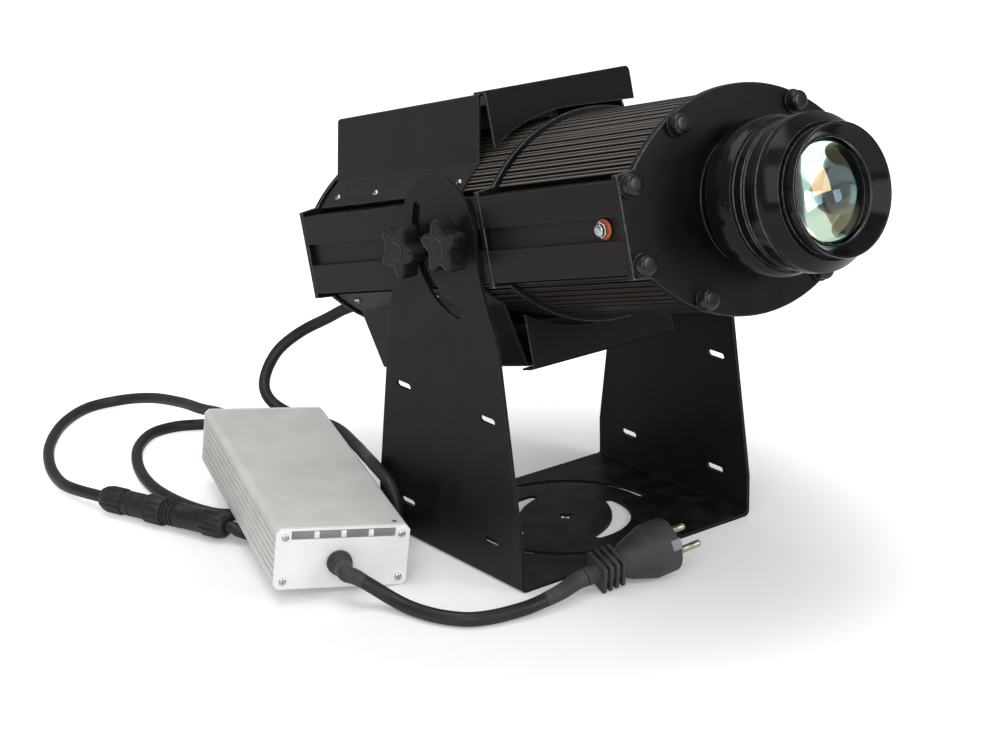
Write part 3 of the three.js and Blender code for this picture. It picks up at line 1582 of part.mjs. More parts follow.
// The origin is the bottom centre of all but the cords and what is on them
projector.updateMatrixWorld(true);
const bounds = new THREE.Box3().setFromObject(stand, true);
const centre = bounds.getCenter(new THREE.Vector3());
const plug = makePlug(stand);
const connector = makeConnector(stand);
makeCords(stand, head, driver, plug, connector);
stand.position.set(-centre.x, -centre.y, -bounds.min.z);

export default projector;
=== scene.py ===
"""Gobo projector: the looks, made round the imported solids.

Lengths are in millimetres until a frame places them.
"""
import json
import math

import bmesh
import bpy
from mathutils import Matrix, Vector


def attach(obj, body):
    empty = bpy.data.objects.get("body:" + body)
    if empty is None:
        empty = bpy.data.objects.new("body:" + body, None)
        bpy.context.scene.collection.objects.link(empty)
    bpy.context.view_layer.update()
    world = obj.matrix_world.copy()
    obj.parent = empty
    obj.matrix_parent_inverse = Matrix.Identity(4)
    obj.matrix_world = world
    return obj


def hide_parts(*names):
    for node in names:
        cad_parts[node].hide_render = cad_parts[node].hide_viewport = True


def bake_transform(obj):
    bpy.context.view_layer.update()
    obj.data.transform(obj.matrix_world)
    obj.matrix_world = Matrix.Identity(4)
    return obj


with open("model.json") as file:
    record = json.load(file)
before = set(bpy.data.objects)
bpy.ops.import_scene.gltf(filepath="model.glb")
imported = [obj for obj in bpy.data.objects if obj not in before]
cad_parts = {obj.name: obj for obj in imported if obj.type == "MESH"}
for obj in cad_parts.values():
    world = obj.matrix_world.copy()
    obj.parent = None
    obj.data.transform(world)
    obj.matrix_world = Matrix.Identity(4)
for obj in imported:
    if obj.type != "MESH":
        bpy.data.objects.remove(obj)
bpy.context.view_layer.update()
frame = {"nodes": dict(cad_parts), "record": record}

MM = 0.001
TAU = 2 * math.pi
FIN_PITCH = 3.1  # degrees between the housings' main fins


# ---------------- frames
def shifted(x, y, z):
    return Matrix.Translation((x, y, z))


def rolled(degrees, axis):
    return Matrix.Rotation(math.radians(degrees), 4, axis)


ROW_SHIFT = (57.0949, 13.6877, 0)
HEAD_TILT = 14.47
DRIVER_WIDTH = 90
DRIVER_LENGTH = 230
DRIVER_ROLL = 6.8
DRIVER_PITCH = 1.5
driver_lift = DRIVER_WIDTH * math.sin(math.radians(DRIVER_ROLL)) * math.cos(math.radians(DRIVER_PITCH))

BRACKET = Matrix.Scale(MM, 4) @ shifted(*ROW_SHIFT)
HEAD = BRACKET @ shifted(0, -22.8, 226.3) @ rolled(-HEAD_TILT, "X")
LENS = HEAD @ shifted(0, 23.5, 0) @ rolled(90, "X")  # z runs forward along the lens axis, y is up
DRIVER = BRACKET @ shifted(-235.3, 12.8, driver_lift) @ rolled(-19, "Z")
DRIVER = DRIVER @ rolled(DRIVER_ROLL, "Y") @ rolled(DRIVER_PITCH, "X")
PLUG = BRACKET @ shifted(-7.7, -116.9, 21.4) @ rolled(-99, "Z") @ rolled(8.2, "X") @ rolled(18, "Y")
CONNECTOR = BRACKET @ shifted(-241.2, 230.5, 10.7) @ rolled(-159.7, "Z")


def add_object(name, data):
    made = bpy.data.objects.new(name, data)
    bpy.context.scene.collection.objects.link(made)
    return made


# ---------------- camera, as the photograph was taken
CAMERA_PLACE = (-0.8528, -1.10276, 0.6023)
VIEW_WAY = (0.57567, 0.75175, -0.32166)
VIEW_RIGHT = (0.7889, -0.61408, -0.02328)


def aim_camera():
    data = bpy.data.cameras.new("photograph_view")
    data.lens = 79.2
    data.sensor_width = 36
    data.clip_start = 0.05
    camera = add_object("photograph_view", data)
    back = -Vector(VIEW_WAY).normalized()
    right = Vector(VIEW_RIGHT)
    right = (right - back * right.dot(back)).normalized()
    turn = Matrix((right, back.cross(right), back)).transposed().to_4x4()
    camera.matrix_world = Matrix.Translation(CAMERA_PLACE) @ turn
    bpy.context.scene.camera = camera


aim_camera()


# ---------------- shells: lists of points and faces
def lofted(rings, looped=False, capped=True):
    """Quads between rings of equal count: looped joins last to first, capped closes both ends."""
    count = len(rings[0])
    points = [p for ring in rings for p in ring]
    faces = []
    for r in range(len(rings) if looped else len(rings) - 1):
        low, high = r * count, (r + 1) % len(rings) * count
        for i in range(count):
            j = (i + 1) % count
            faces.append((low + i, low + j, high + j, high + i))
    if capped and not looped:
        faces.append(tuple(range(count)))
        faces.append(tuple(range(len(points) - count, len(points))))
    return points, faces


def hexagon(angle):
    return math.cos(math.pi / 6) / math.cos(angle % (math.pi / 3) - math.pi / 6)


def fluted(flutes, depth):
    """Radius share round a nut with scooped flutes."""
    return lambda angle: 1 - depth * max(0, math.cos(flutes * angle)) ** 1.5


def turned(profile, sides=96, looped=False, shape=None):
    """A profile of (radius, height) or (radius, height, share) turned about z. Share brings in the shape."""
    rings = []
    for entry in profile:
        radius, height = entry[:2]
        share = entry[2] if len(entry) > 2 else 0
        ring = []
        for k in range(sides):
            angle = TAU * k / sides
            r = radius * (1 - share + share * shape(angle)) if share else radius
            ring.append((r * math.cos(angle), r * math.sin(angle), height))
        rings.append(ring)
    return lofted(rings, looped, capped=False)


def raised(height, profile):
    return [(radius, height + h, *share) for radius, h, *share in profile]


def inset_outline(outline, inset):
    """The outline moved inward, corner by corner. It runs anticlockwise."""
    moved = []
    for i, (x, y) in enumerate(outline):
        before, after = Vector(outline[i - 1]), Vector(outline[(i + 1) % len(outline)])
        one = (Vector((x, y)) - before).normalized()
        two = (after - Vector((x, y))).normalized()
        normal = Vector((-one.y - two.y, one.x + two.x))
        share = max(0.35, normal.length / 2)
        normal = normal.normalized() * (inset / share)
        moved.append((x + normal.x, y + normal.y))
    return moved


def prism(outline, levels):
    """The outline at each (height, inset) in turn, closed at both ends."""
    return lofted([[(x, y, h) for x, y in inset_outline(outline, inset)] for h, inset in levels])


def slab(outline, low, high, edge):
    return prism(outline, [(low, edge), (low + edge, 0), (high - edge, 0), (high, edge)])


def rounded_box(half_x, half_y, corner, steps=5):
    points = []
    for quarter, (sx, sy) in enumerate([(1, 1), (-1, 1), (-1, -1), (1, -1)]):
        for k in range(steps + 1):
            angle = (quarter + k / steps) * math.pi / 2
            points.append((
                sx * (half_x - corner) + corner * math.cos(angle),
                sy * (half_y - corner) + corner * math.sin(angle),
            ))
    return points


def arc(x, y, radius, start, end, steps):
    """Points on an arc, from the start angle to the end one in degrees."""
    angles = [math.radians(start + (end - start) * k / steps) for k in range(steps + 1)]
    return [(x + radius * math.cos(a), y + radius * math.sin(a)) for a in angles]


def rounded_path(path, radius, steps=6):
    """An open path with its inner corners rounded."""
    made = [Vector(path[0])]
    for i in range(1, len(path) - 1):
        corner = Vector(path[i])
        back = (Vector(path[i - 1]) - corner).normalized()
        on = (Vector(path[i + 1]) - corner).normalized()
        reach = radius / math.tan(back.angle(on) / 2)
        start, end = corner + back * reach, corner + on * reach
        for k in range(steps + 1):
            t = k / steps
            made.append(start * (1 - t) ** 2 + corner * 2 * t * (1 - t) + end * t * t)
    made.append(Vector(path[-1]))
    return made


def strip(path, thickness):
    """A closed outline of sheet of one thickness laid on the left of a path."""
    outer = []
    for i, point in enumerate(path):
        ways = []
        if i > 0:
            ways.append((point - path[i - 1]).normalized())
        if i < len(path) - 1:
            ways.append((path[i + 1] - point).normalized())
        way = sum(ways, Vector((0, 0)))
        normal = Vector((-way.y, way.x))
        normal = normal.normalized() * thickness / max(0.5, normal.length / len(ways))
        outer.append(point + normal)
    return [(p.x, p.y) for p in path] + [(p.x, p.y) for p in reversed(outer)]


def tube(path, radius_at, sides=20):
    """A tube along points, its radius given by the length run so far."""
    rings = []
    run = 0.0
    side = None
    for i, point in enumerate(path):
        ahead = path[min(i + 1, len(path) - 1)] - path[max(i - 1, 0)]
        way = ahead.normalized()
        if side is None:
            side = way.orthogonal().normalized()
        side = (side - way * side.dot(way)).normalized()
        other = way.cross(side)
        if i > 0:
            run += (point - path[i - 1]).length
        radius = radius_at(run)
        turns = [TAU * k / sides for k in range(sides)]
        rings.append([point + side * (radius * math.cos(a)) + other * (radius * math.sin(a)) for a in turns])
    return lofted(rings)


# ---------------- pieces
def piece(name, *parts):
    """One object from (shell, place) pairs."""
    points, faces = [], []
    for (shell_points, shell_faces), place in parts:
        first = len(points)
        points += [place @ Vector(p) for p in shell_points]
        faces += [tuple(first + i for i in face) for face in shell_faces]
    mesh = bpy.data.meshes.new(name)
    mesh.from_pydata(points, [], faces)
    shape = bmesh.new()
    shape.from_mesh(mesh)
    bmesh.ops.remove_doubles(shape, verts=shape.verts, dist=1.5e-6)
    bmesh.ops.dissolve_degenerate(shape, edges=shape.edges, dist=1e-6)
    bmesh.ops.recalc_face_normals(shape, faces=shape.faces)
    shape.to_mesh(mesh)
    shape.free()
    mesh.polygons.foreach_set("use_smooth", [True] * len(mesh.polygons))
    return add_object(name, mesh)


def soften(made, width, angle=30, segments=2):
    edge = made.modifiers.new("softened_edges", "BEVEL")
    edge.width = width * MM
    edge.segments = segments
    edge.limit_method = "ANGLE"
    edge.angle_limit = math.radians(angle)
    edge.harden_normals = True
    return made


def fit(made, body, slot, *replaced, edge=0.0, finish=None):
    """The piece gets its finish and soft edges, rides on its body and stands for the nodes it replaces."""
    made.data.materials.append(FINISH[finish or slot])
    if edge:
        soften(made, edge)
    if replaced:
        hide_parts(*replaced)
    if body:
        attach(made, body)
    return made


def dress(node, edge):
    """A solid that is kept: its facets joined, its edges softened, and its finish put on."""
    made = frame["nodes"][node]
    mesh = made.data
    mesh.materials.clear()
    mesh.materials.append(FINISH[NODE_FINISH[node]])
    for worn in ("custom_normal", "sharp_edge", "sharp_face"):
        if worn in mesh.attributes:
            mesh.attributes.remove(mesh.attributes[worn])
    mesh.polygons.foreach_set("use_smooth", [True] * len(mesh.polygons))
    weld = made.modifiers.new("joined_facets", "WELD")
    weld.merge_threshold = 1e-6
    flat = made.modifiers.new("flat_faces", "DECIMATE")
    flat.decimate_type = "DISSOLVE"
    flat.angle_limit = math.radians(0.3)
    soften(made, edge)


# ---------------- finishes: what they share
def put(tree, socket, value):
    if isinstance(value, bpy.types.NodeSocket):
        tree.links.new(value, socket)
    else:
        socket.default_value = value


def put_all(tree, sockets, values):
    for key, value in values.items():
        put(tree, sockets[key], value)


def step(tree, kind, inputs=None, **settings):
    made = tree.nodes.new("ShaderNode" + kind)
    for key, value in settings.items():
        setattr(made, key, value)
    put_all(tree, made.inputs, inputs or {})
    return made


def sums(tree, operation, *values, clamp=False):
    made = step(tree, "Math", operation=operation, use_clamp=clamp)
    for socket, value in zip(made.inputs, values):
        put(tree, socket, value)
    return made.outputs[0]


def times(tree, *values, clamp=False):
    """The product of two values, plus the third if there is one."""
    return sums(tree, "MULTIPLY_ADD" if len(values) > 2 else "MULTIPLY", *values, clamp=clamp)


def vector_sums(tree, operation, *values, output="Vector"):
    made = step(tree, "VectorMath", operation=operation)
    for socket, value in zip(made.inputs, values):
        put(tree, socket, value)
    return made.outputs[output]


def ramp(tree, value, low, high):
    """0 up to low, 1 from high on."""
    made = step(tree, "MapRange", interpolation_type="SMOOTHSTEP")
    put_all(tree, made.inputs, {"Value": value, "From Min": low, "From Max": high})
    return made.outputs["Result"]


def shared(name, inputs, outputs):
    """An empty shader group with named sockets."""
    tree = bpy.data.node_groups.new(name, "ShaderNodeTree")
    for label, value in inputs:
        kind = "NodeSocketVector" if isinstance(value, tuple) else "NodeSocketFloat"
        tree.interface.new_socket(label, in_out="INPUT", socket_type=kind).default_value = value
    for label in outputs:
        tree.interface.new_socket(label, in_out="OUTPUT", socket_type="NodeSocketFloat")
    given = tree.nodes.new("NodeGroupInput").outputs
    result = tree.nodes.new("NodeGroupOutput").inputs
    return tree, given, result


def place_on(tree):
    return step(tree, "TexCoord").outputs["Object"]


def noise(tree, vector, scale, detail):
    return step(tree, "TexNoise", {"Vector": vector, "Scale": scale, "Detail": detail}).outputs["Fac"]


# Painted highlight on rims: lighter where the bevelled normal turns from the face, broken up by noise like
# wear; partly wear, partly painted glint.
def make_edge_glint_and_wear():
    inputs = [("Width", 0.0006), ("Scale", 400), ("Amount", 1)]
    tree, given, result = shared("edge_glint_and_wear", inputs, ["Wear"])
    bevel = step(tree, "Bevel", {"Radius": given["Width"]}, samples=4)
    face = step(tree, "NewGeometry").outputs["Normal"]
    turned_away = vector_sums(tree, "DOT_PRODUCT", bevel.outputs[0], face, output="Value")
    rim = ramp(tree, turned_away, 0.995, 0.90)
    broken = ramp(tree, noise(tree, place_on(tree), given["Scale"], 3), 0.3, 0.6)
    kept = times(tree, broken, 0.6, 0.4)
    # The broken rim mask: painted edge highlight, partly wear.
    worn = times(tree, rim, kept)
    put(tree, result["Wear"], times(tree, worn, given["Amount"], clamp=True))
    return tree


def make_surface_grain():
    tree, given, result = shared("surface_grain", [("Scale", 900)], ["Height", "Tone"])
    place = place_on(tree)
    fine = noise(tree, place, given["Scale"], 2)
    cloud = noise(tree, place, times(tree, given["Scale"], 0.03), 4)
    put(tree, result["Height"], times(tree, cloud, 0.25, fine))
    put(tree, result["Tone"], ramp(tree, cloud, 0.3, 0.7))
    return tree


def make_settled_dust():
    tree, given, result = shared("settled_dust", [("Scale", 60), ("Amount", 0.2)], ["Dust"])
    place = place_on(tree)
    normal = step(tree, "NewGeometry").outputs["Normal"]
    upward = ramp(tree, step(tree, "SeparateXYZ", {"Vector": normal}).outputs["Z"], 0.1, 1)
    film = times(tree, ramp(tree, noise(tree, place, given["Scale"], 5), 0.4, 0.8), upward)
    speck_scale = times(tree, given["Scale"], 4)
    cells = step(tree, "TexVoronoi", {"Vector": place, "Scale": speck_scale, "Randomness": 1.0})
    lone = step(tree, "SeparateColor", {"Color": cells.outputs["Color"]}).outputs["Red"]
    dot = ramp(tree, cells.outputs["Distance"], 0.075, 0.04)
    speck = times(tree, dot, ramp(tree, lone, 0.93, 0.95))
    both = times(tree, speck, 2, film)
    put(tree, result["Dust"], times(tree, both, given["Amount"], clamp=True))
    return tree


def scaled(tree, vector, share):
    return step(tree, "VectorMath", {"Vector": vector, "Scale": share}, operation="SCALE").outputs[0]


def make_drawn_lines():
    """Fine lines: close together across the axis and long along it, or the other way round."""
    inputs = [("Axis", (0, 0, 1)), ("Along", 8), ("Across", 900)]
    tree, given, result = shared("drawn_lines", inputs, ["Height"])
    place = place_on(tree)
    along = vector_sums(tree, "DOT_PRODUCT", place, given["Axis"], output="Value")
    stretch = times(tree, along, sums(tree, "SUBTRACT", given["Along"], given["Across"]))
    on_axis = scaled(tree, given["Axis"], stretch)
    drawn = vector_sums(tree, "ADD", on_axis, scaled(tree, place, given["Across"]))
    put(tree, result["Height"], noise(tree, drawn, 1, 3))
    return tree


def make_fin_tip_highlights():
    """Painted highlight lines along the tips of a housing's fins, which are struck from two centres; full on
    the upper fins, weaker on the lower ones as painted shade.
    """
    inputs = [("Low", 0.1105), ("High", 0.1122), ("Centre", 0.0455), ("Half Width", 0.0862)]
    inputs += [("Pitch", math.radians(FIN_PITCH / 2)), ("Line", 0.22)]
    tree, given, result = shared("fin_tip_highlights", inputs, ["Tip"])
    pivot = HEAD @ Vector((0, 0, 0))
    from_pivot = vector_sums(tree, "SUBTRACT", place_on(tree), tuple(pivot))
    across = step(tree, "SeparateXYZ", {"Vector": from_pivot}).outputs["X"]
    up_way = (HEAD.to_3x3() @ Vector((0, 0, 1))).normalized()
    up = vector_sums(tree, "DOT_PRODUCT", from_pivot, tuple(up_way), output="Value")
    height = sums(tree, "ADD", sums(tree, "ABSOLUTE", up), given["Centre"])
    flat = step(tree, "CombineXYZ", {"X": across, "Y": height})
    radius = vector_sums(tree, "LENGTH", flat.outputs[0], output="Value")
    inside = sums(tree, "LESS_THAN", sums(tree, "ABSOLUTE", across), given["Half Width"])
    turn = sums(tree, "DIVIDE", sums(tree, "ARCTAN2", across, height), given["Pitch"])
    off_line = sums(tree, "ABSOLUTE", sums(tree, "SUBTRACT", turn, sums(tree, "ROUND", turn)))
    line = ramp(tree, off_line, given["Line"], times(tree, given["Line"], 0.6))
    tip = times(tree, ramp(tree, radius, given["Low"], given["High"]), inside)
    # Painted light: the tip highlight is full on the upper half and weaker on the lower half, which stands
    # in shade.
    worn = times(tree, ramp(tree, up, -0.03, 0.03), 0.8, 0.2)
    put(tree, result["Tip"], times(tree, times(tree, tip, line), worn))
    return tree


EDGE_GLINT_AND_WEAR = make_edge_glint_and_wear()
SURFACE_GRAIN = make_surface_grain()
SETTLED_DUST = make_settled_dust()
DRAWN_LINES = make_drawn_lines()
FIN_TIP_HIGHLIGHTS = make_fin_tip_highlights()


def use(tree, group, **values):
    made = tree.nodes.new("ShaderNodeGroup")
    made.node_tree = group
    put_all(tree, made.inputs, {name.replace("_", " "): value for name, value in values.items()})
    return made.outputs


def mix_colour(tree, share, one, two):
    """Inputs 6 and 7 of a mix take its colours, and its output 2 gives the mixed one."""
    made = step(tree, "Mix", data_type="RGBA")
    put_all(tree, made.inputs, {0: share, 6: one, 7: two})
    return made.outputs[2]


def opaque(colour):
    return (*colour, 1)


def new_finish(name):
    made = bpy.data.materials.new(name)
    made.use_nodes = True
    tree = made.node_tree
    return made, tree, tree.nodes["Principled BSDF"].inputs


DUST_COLOUR = (0.34, 0.33, 0.31)
FILM_IOR = 1.38
COAT_IOR = 1.9
COAT_TINT = (0.93, 1, 0.96)


def coated(name, base, rough, specular=0.3, metallic=0.0, coat=0.0, edge=None, wear=0.0, wear_width=0.0006,
           grain=900.0, depth=0.02, tone=0.25, dust=0.1, lines=None, tips=None):
    """An opaque finish: base colour with cloudy tone, edges lightened by painted highlight broken up like
    wear, painted highlights on the fin tips where asked, dust, and fine relief.
    """
    made, tree, skin = new_finish(name)
    texture = use(tree, SURFACE_GRAIN, Scale=grain)
    darker = tuple(c * (1 - tone) for c in base)
    lighter = tuple(c * (1 + tone) for c in base)
    colour = mix_colour(tree, texture["Tone"], opaque(darker), opaque(lighter))
    # Painted highlight on the fin tips, in the tips colour.
    if tips:
        tip = use(tree, FIN_TIP_HIGHLIGHTS)["Tip"]
        colour = mix_colour(tree, times(tree, tip, 0.85), colour, opaque(tips))
    # Edges lightened by the rim mask in the edge colour: painted highlight, partly wear.
    if wear:
        worn = use(tree, EDGE_GLINT_AND_WEAR, Width=wear_width, Amount=wear)["Wear"]
        colour = mix_colour(tree, worn, colour, opaque(edge or lighter))
    dusty = use(tree, SETTLED_DUST, Amount=dust)["Dust"]
    colour = mix_colour(tree, dusty, colour, opaque(DUST_COLOUR))
    rougher = times(tree, texture["Tone"], 0.12, rough - 0.06)
    height = texture["Height"]
    if lines:
        axis, along, across, share = lines
        drawn = use(tree, DRAWN_LINES, Axis=tuple(axis), Along=along, Across=across)["Height"]
        height = times(tree, drawn, share, height)
    relief = step(tree, "Bump", {"Strength": 0.5, "Distance": depth * MM, "Height": height})
    put_all(tree, skin, {
        "Base Color": colour, "Normal": relief.outputs[0], "Metallic": metallic,
        "Specular IOR Level": specular,
        "Roughness": times(tree, dusty, 0.4, rougher, clamp=True),
    })
    if coat:
        put_all(tree, skin, {"Coat Weight": coat, "Coat Roughness": 0.12})
    return made


def clear(name, tint, ior, film=0.0, coat=0.0):
    """Glass with faint smudges, and a thin coating where film gives its thickness in nanometres."""
    made, tree, skin = new_finish(name)
    texture = use(tree, SURFACE_GRAIN, Scale=500.0)
    smudged = opaque([c * 0.97 for c in tint])
    put_all(tree, skin, {
        "Base Color": mix_colour(tree, texture["Tone"], opaque(tint), smudged),
        "Roughness": times(tree, texture["Tone"], 0.02),
        "Transmission Weight": 1, "Metallic": 0, "IOR": ior,
    })
    if film:
        put_all(tree, skin, {"Thin Film Thickness": film, "Thin Film IOR": FILM_IOR})
    if coat:
        put_all(tree, skin, {"Coat Weight": coat, "Coat IOR": COAT_IOR, "Coat Tint": opaque(COAT_TINT)})
    return made


lens_axis = (LENS.to_3x3() @ Vector((0, 0, 1))).normalized()
driver_axis = (DRIVER.to_3x3() @ Vector((0, 1, 0))).normalized()
# Edge colour for painted edge highlights, partly wear.
GLINT_AND_WEAR_EDGE = (0.16, 0.155, 0.15)

# Each finish: colour, roughness, specular level, and what else differs. Lines: axis, along, across, share.
# Edge colours with their wear amounts paint highlights on the rims, broken up like wear.
COATED = {
    "powder_coat": ((0.0095, 0.0088, 0.0082), 0.46, 0.19, dict(
        edge=GLINT_AND_WEAR_EDGE, wear=0.35, grain=1400.0, depth=0.035, dust=0.06)),
    # Black anodised: its tips colour is the painted highlight on the fin tips.
    "black_anodised": ((0.0118, 0.0096, 0.0084), 0.36, 0.15, dict(
        edge=(0.26, 0.24, 0.22), wear=0.25, grain=700.0, depth=0.012, dust=0.06, tips=(0.20, 0.175, 0.155),
        lines=(lens_axis, 6, 1100, 0.6))),
    "black_plate": ((0.0056, 0.0054, 0.0052), 0.40, 0.18, dict(
        edge=(0.62, 0.61, 0.60), wear=1.0, wear_width=0.0005, grain=1000.0, dust=0.08)),
    "hood_sheet": ((0.0180, 0.0148, 0.0138), 0.40, 0.28, dict(
        edge=(0.34, 0.32, 0.30), wear=0.6, grain=1300.0, depth=0.03, tone=0.12, dust=0.03)),
    # A darker, greyer copy of the hood sheet for the front hoods: painted shade on their front faces.
    "shaded_flap_sheet": ((0.0100, 0.0100, 0.0102), 0.50, 0.10, dict(
        edge=(0.40, 0.40, 0.40), wear=0.7, grain=1300.0, depth=0.03, tone=0.12, dust=0.03)),
    "nut_caps": ((0.010, 0.010, 0.010), 0.28, 0.36, dict(coat=0.1, grain=600.0, depth=0.01, dust=0.05)),
    "knob_plastic": ((0.0105, 0.0100, 0.0096), 0.42, 0.22, dict(
        edge=(0.3, 0.29, 0.28), wear=0.5, wear_width=0.0005, grain=1200.0, depth=0.03, dust=0.08)),
    "fan_plastic": ((0.012, 0.012, 0.012), 0.45, 0.3, {}),
    "gland_plastic": ((0.0150, 0.0155, 0.0165), 0.40, 0.38, dict(
        edge=GLINT_AND_WEAR_EDGE, wear=0.3, wear_width=0.0004, grain=1100.0, depth=0.03, dust=0.08)),
    "lens_black": ((0.0058, 0.0054, 0.0054), 0.17, 0.20, dict(
        edge=(0.6, 0.59, 0.58), wear=1.0, wear_width=0.0003, grain=500.0, depth=0.006, dust=0.03, tone=0.15,
        lines=(lens_axis, 2600, 5, 0.8))),
    "bare_aluminium": ((0.60, 0.60, 0.60), 0.38, 0.5, dict(metallic=0.9, grain=700.0, tone=0.08, dust=0.02)),
    "led_copper": ((0.62, 0.60, 0.50), 0.35, 0.5, dict(metallic=0.5, grain=700.0, tone=0.1, dust=0.0)),
    "gear_brass": ((0.58, 0.40, 0.16), 0.30, 0.5, dict(metallic=1.0, grain=700.0, tone=0.1, dust=0.0)),
    "pin_metal": ((0.50, 0.46, 0.34), 0.30, 0.5, dict(
        metallic=0.9, grain=600.0, depth=0.008, tone=0.1, dust=0.02)),
    "clip_steel": ((0.20, 0.22, 0.22), 0.42, 0.5, dict(
        metallic=0.4, grain=600.0, depth=0.008, tone=0.1, dust=0.05)),
    "zinc_steel": ((0.56, 0.56, 0.55), 0.24, 0.5, dict(
        metallic=1.0, grain=600.0, depth=0.008, tone=0.08, dust=0.02)),
    "orange_rubber": ((0.55, 0.12, 0.035), 0.55, 0.4, dict(tone=0.12, dust=0.03)),
    "silver_case": ((0.74, 0.735, 0.71), 0.44, 0.5, dict(
        metallic=0.12, edge=(0.88, 0.88, 0.87), wear=0.6, grain=1500.0, tone=0.04, dust=0.02,
        lines=(driver_axis, 12, 1400, 1.2))),
    # A brighter copy of the case finish for the end plates, bosses and tabs: painted light, as on the lit
    # front plate.
    "lit_silver_plate": ((0.90, 0.91, 0.90), 0.42, 0.5, dict(
        metallic=0.05, edge=(0.95, 0.95, 0.95), wear=0.6, grain=1500.0, tone=0.03, dust=0.02)),
    # Grey for the strip in the driver's front plate: painted shade of the recess.
    "strip_recess_shade": ((0.24, 0.235, 0.22), 0.42, 0.4, dict(grain=1200.0, depth=0.01, tone=0.12, dust=0.04)),
    "circuit_board": ((0.04, 0.12, 0.05), 0.5, 0.5, {}),
    "plug_rubber": ((0.044, 0.044, 0.046), 0.52, 0.34, dict(
        edge=(0.2, 0.21, 0.22), wear=0.35, wear_width=0.0005, grain=1500.0, depth=0.03, dust=0.06)),
    "cord_jacket": ((0.0185, 0.0195, 0.0220), 0.44, 0.36, dict(grain=1500.0, dust=0.05)),
}
FINISH = {name: coated(name, *main, **more) for name, (*main, more) in COATED.items()}
FINISH["clear_glass"] = clear("clear_glass", (0.97, 0.985, 0.975), ior=1.5)
FINISH["coated_glass"] = clear("coated_glass", (0.80, 0.93, 0.87), ior=1.75, film=260.0, coat=0.6)
NODE_FINISH = {entry["node"]: entry["material_slot"] for entry in frame["record"]["subparts"]}
# The driver's end plates take the brighter copy of the case finish: painted light.
NODE_FINISH.update(driver_front_plate="lit_silver_plate", driver_rear_plate="lit_silver_plate")


# ---------------- cords, which follow the same points as their solids
CORD_RADIUS = 4.3
MAINS_RADIUS = 4.7
MAINS_ROUTE = [
    (-194.5, -23, 20.3), (-187, -31.5, 14), (-181, -43, 8.3), (-176.5, -57, 5.2), (-171.5, -75, 4.9),
    (-165, -87.5, 4.9), (-157.4, -96.2, 4.9), (-145.9, -102, 4.9), (-132.5, -105.5, 5.2),
    (-118.7, -108.3, 6.2), (-106.7, -109, 7.5), (-93.2, -108.9, 9.2),
]
POWER_ROUTE = [
    (-119, 272, 35), (-116.5, 300, 29.5), (-110.6, 345, 21.7), (-112.5, 391.5, 13.5), (-124, 421, 6.5),
    (-148.6, 428, 4.5), (-180.8, 409.2, 4.5), (-214.1, 369.6, 4.5), (-234.1, 330.3, 4.5), (-244, 297, 5),
    (-248, 270, 8),
]
HEAD_ROUTE = [
    (-40, 208.9, 115.9), (-46.7, 222.7, 107.1), (-60.4, 241.9, 93.9), (-75.2, 250.8, 80.6),
    (-88.1, 248.6, 66.6), (-94.9, 241.4, 57.1), (-95.1, 233.8, 49.7), (-88.1, 223.4, 41.6),
    (-74.6, 212.2, 35.5), (-65.6, 194, 32.1), (-79.3, 144.2, 35.1), (-92.4, 112.2, 39.4),
    (-106.5, 81.1, 45.3), (-113.4, 51.4, 40.6), (-114.8, 42.8, 30.7), (-115.4, 41.6, 21.6),
    (-115.9, 43.3, 15.5), (-116.2, 46.4, 10.6), (-116.5, 52.1, 6.4), (-116.5, 59.8, 4.6),
    (-114.3, 72.1, 4.5), (-110.5, 80.5, 4.5), (-99, 110, 4.5), (-90, 140, 4.5), (-79.9, 170, 4.5),
    (-68.1, 202, 4.5), (-60.3, 232, 4.5), (-60.2, 262, 4.5), (-68.3, 291.9, 4.5), (-83, 316, 4.5),
    (-100.8, 331, 4.5), (-119, 340.5, 4.5), (-139, 340, 4.5), (-161, 322.7, 4.5), (-178.7, 295.5, 4.5),
    (-192.5, 259.3, 4.5), (-198, 226, 4.5), (-195.5, 185, 4.5), (-187.3, 160.7, 4.5),
    (-180.8, 154.2, 4.5), (-160.8, 139.8, 4.5), (-156.2, 123.8, 4.5), (-162.9, 109.5, 4.5),
    (-174.9, 103.5, 5), (-187.8, 105.6, 5.8), (-198.4, 115, 9.2),
]
MOUTH_GAP = 0.3


def mouth(place, point, way):
    """Where a cord leaves a fitting: a function of how far out, in the row frame."""
    start = place @ Vector(point)
    out = (place.to_3x3() @ Vector(way)).normalized() * MM
    return lambda run: start + out * run


def tangents(p, spans):
    """The two end tangents of a centripetal spline's middle span."""
    one = (p[1] - p[0]) / spans[0] - (p[2] - p[0]) / (spans[0] + spans[1]) + (p[2] - p[1]) / spans[1]
    two = (p[2] - p[1]) / spans[1] - (p[3] - p[1]) / (spans[1] + spans[2]) + (p[3] - p[2]) / spans[2]
    return one * spans[1], two * spans[1]


def smooth_line(points, steps=8):
    """A centripetal spline through the points."""
    ends = [2 * points[0] - points[1], *points, 2 * points[-1] - points[-2]]
    line = []
    for i in range(len(points) - 1):
        near = ends[i:i + 4]
        spans = [(near[k + 1] - near[k]).length ** 0.5 for k in range(3)]
        one, two = tangents(near, spans)
        for k in range(steps):
            t = k / steps
            square = (-3 * near[1] + 3 * near[2] - 2 * one - two) * t * t
            cube = (2 * near[1] - 2 * near[2] + one + two) * t ** 3
            line.append(near[1] + one * t + square + cube)
    return line + [points[-1]]


def cord_line(start, route, end, diameter):
    near = [start(MOUTH_GAP), start(MOUTH_GAP + diameter)]
    far = [end(MOUTH_GAP + diameter / 2), end(MOUTH_GAP)]
    return smooth_line(near + [BRACKET @ Vector(p) for p in route] + far)


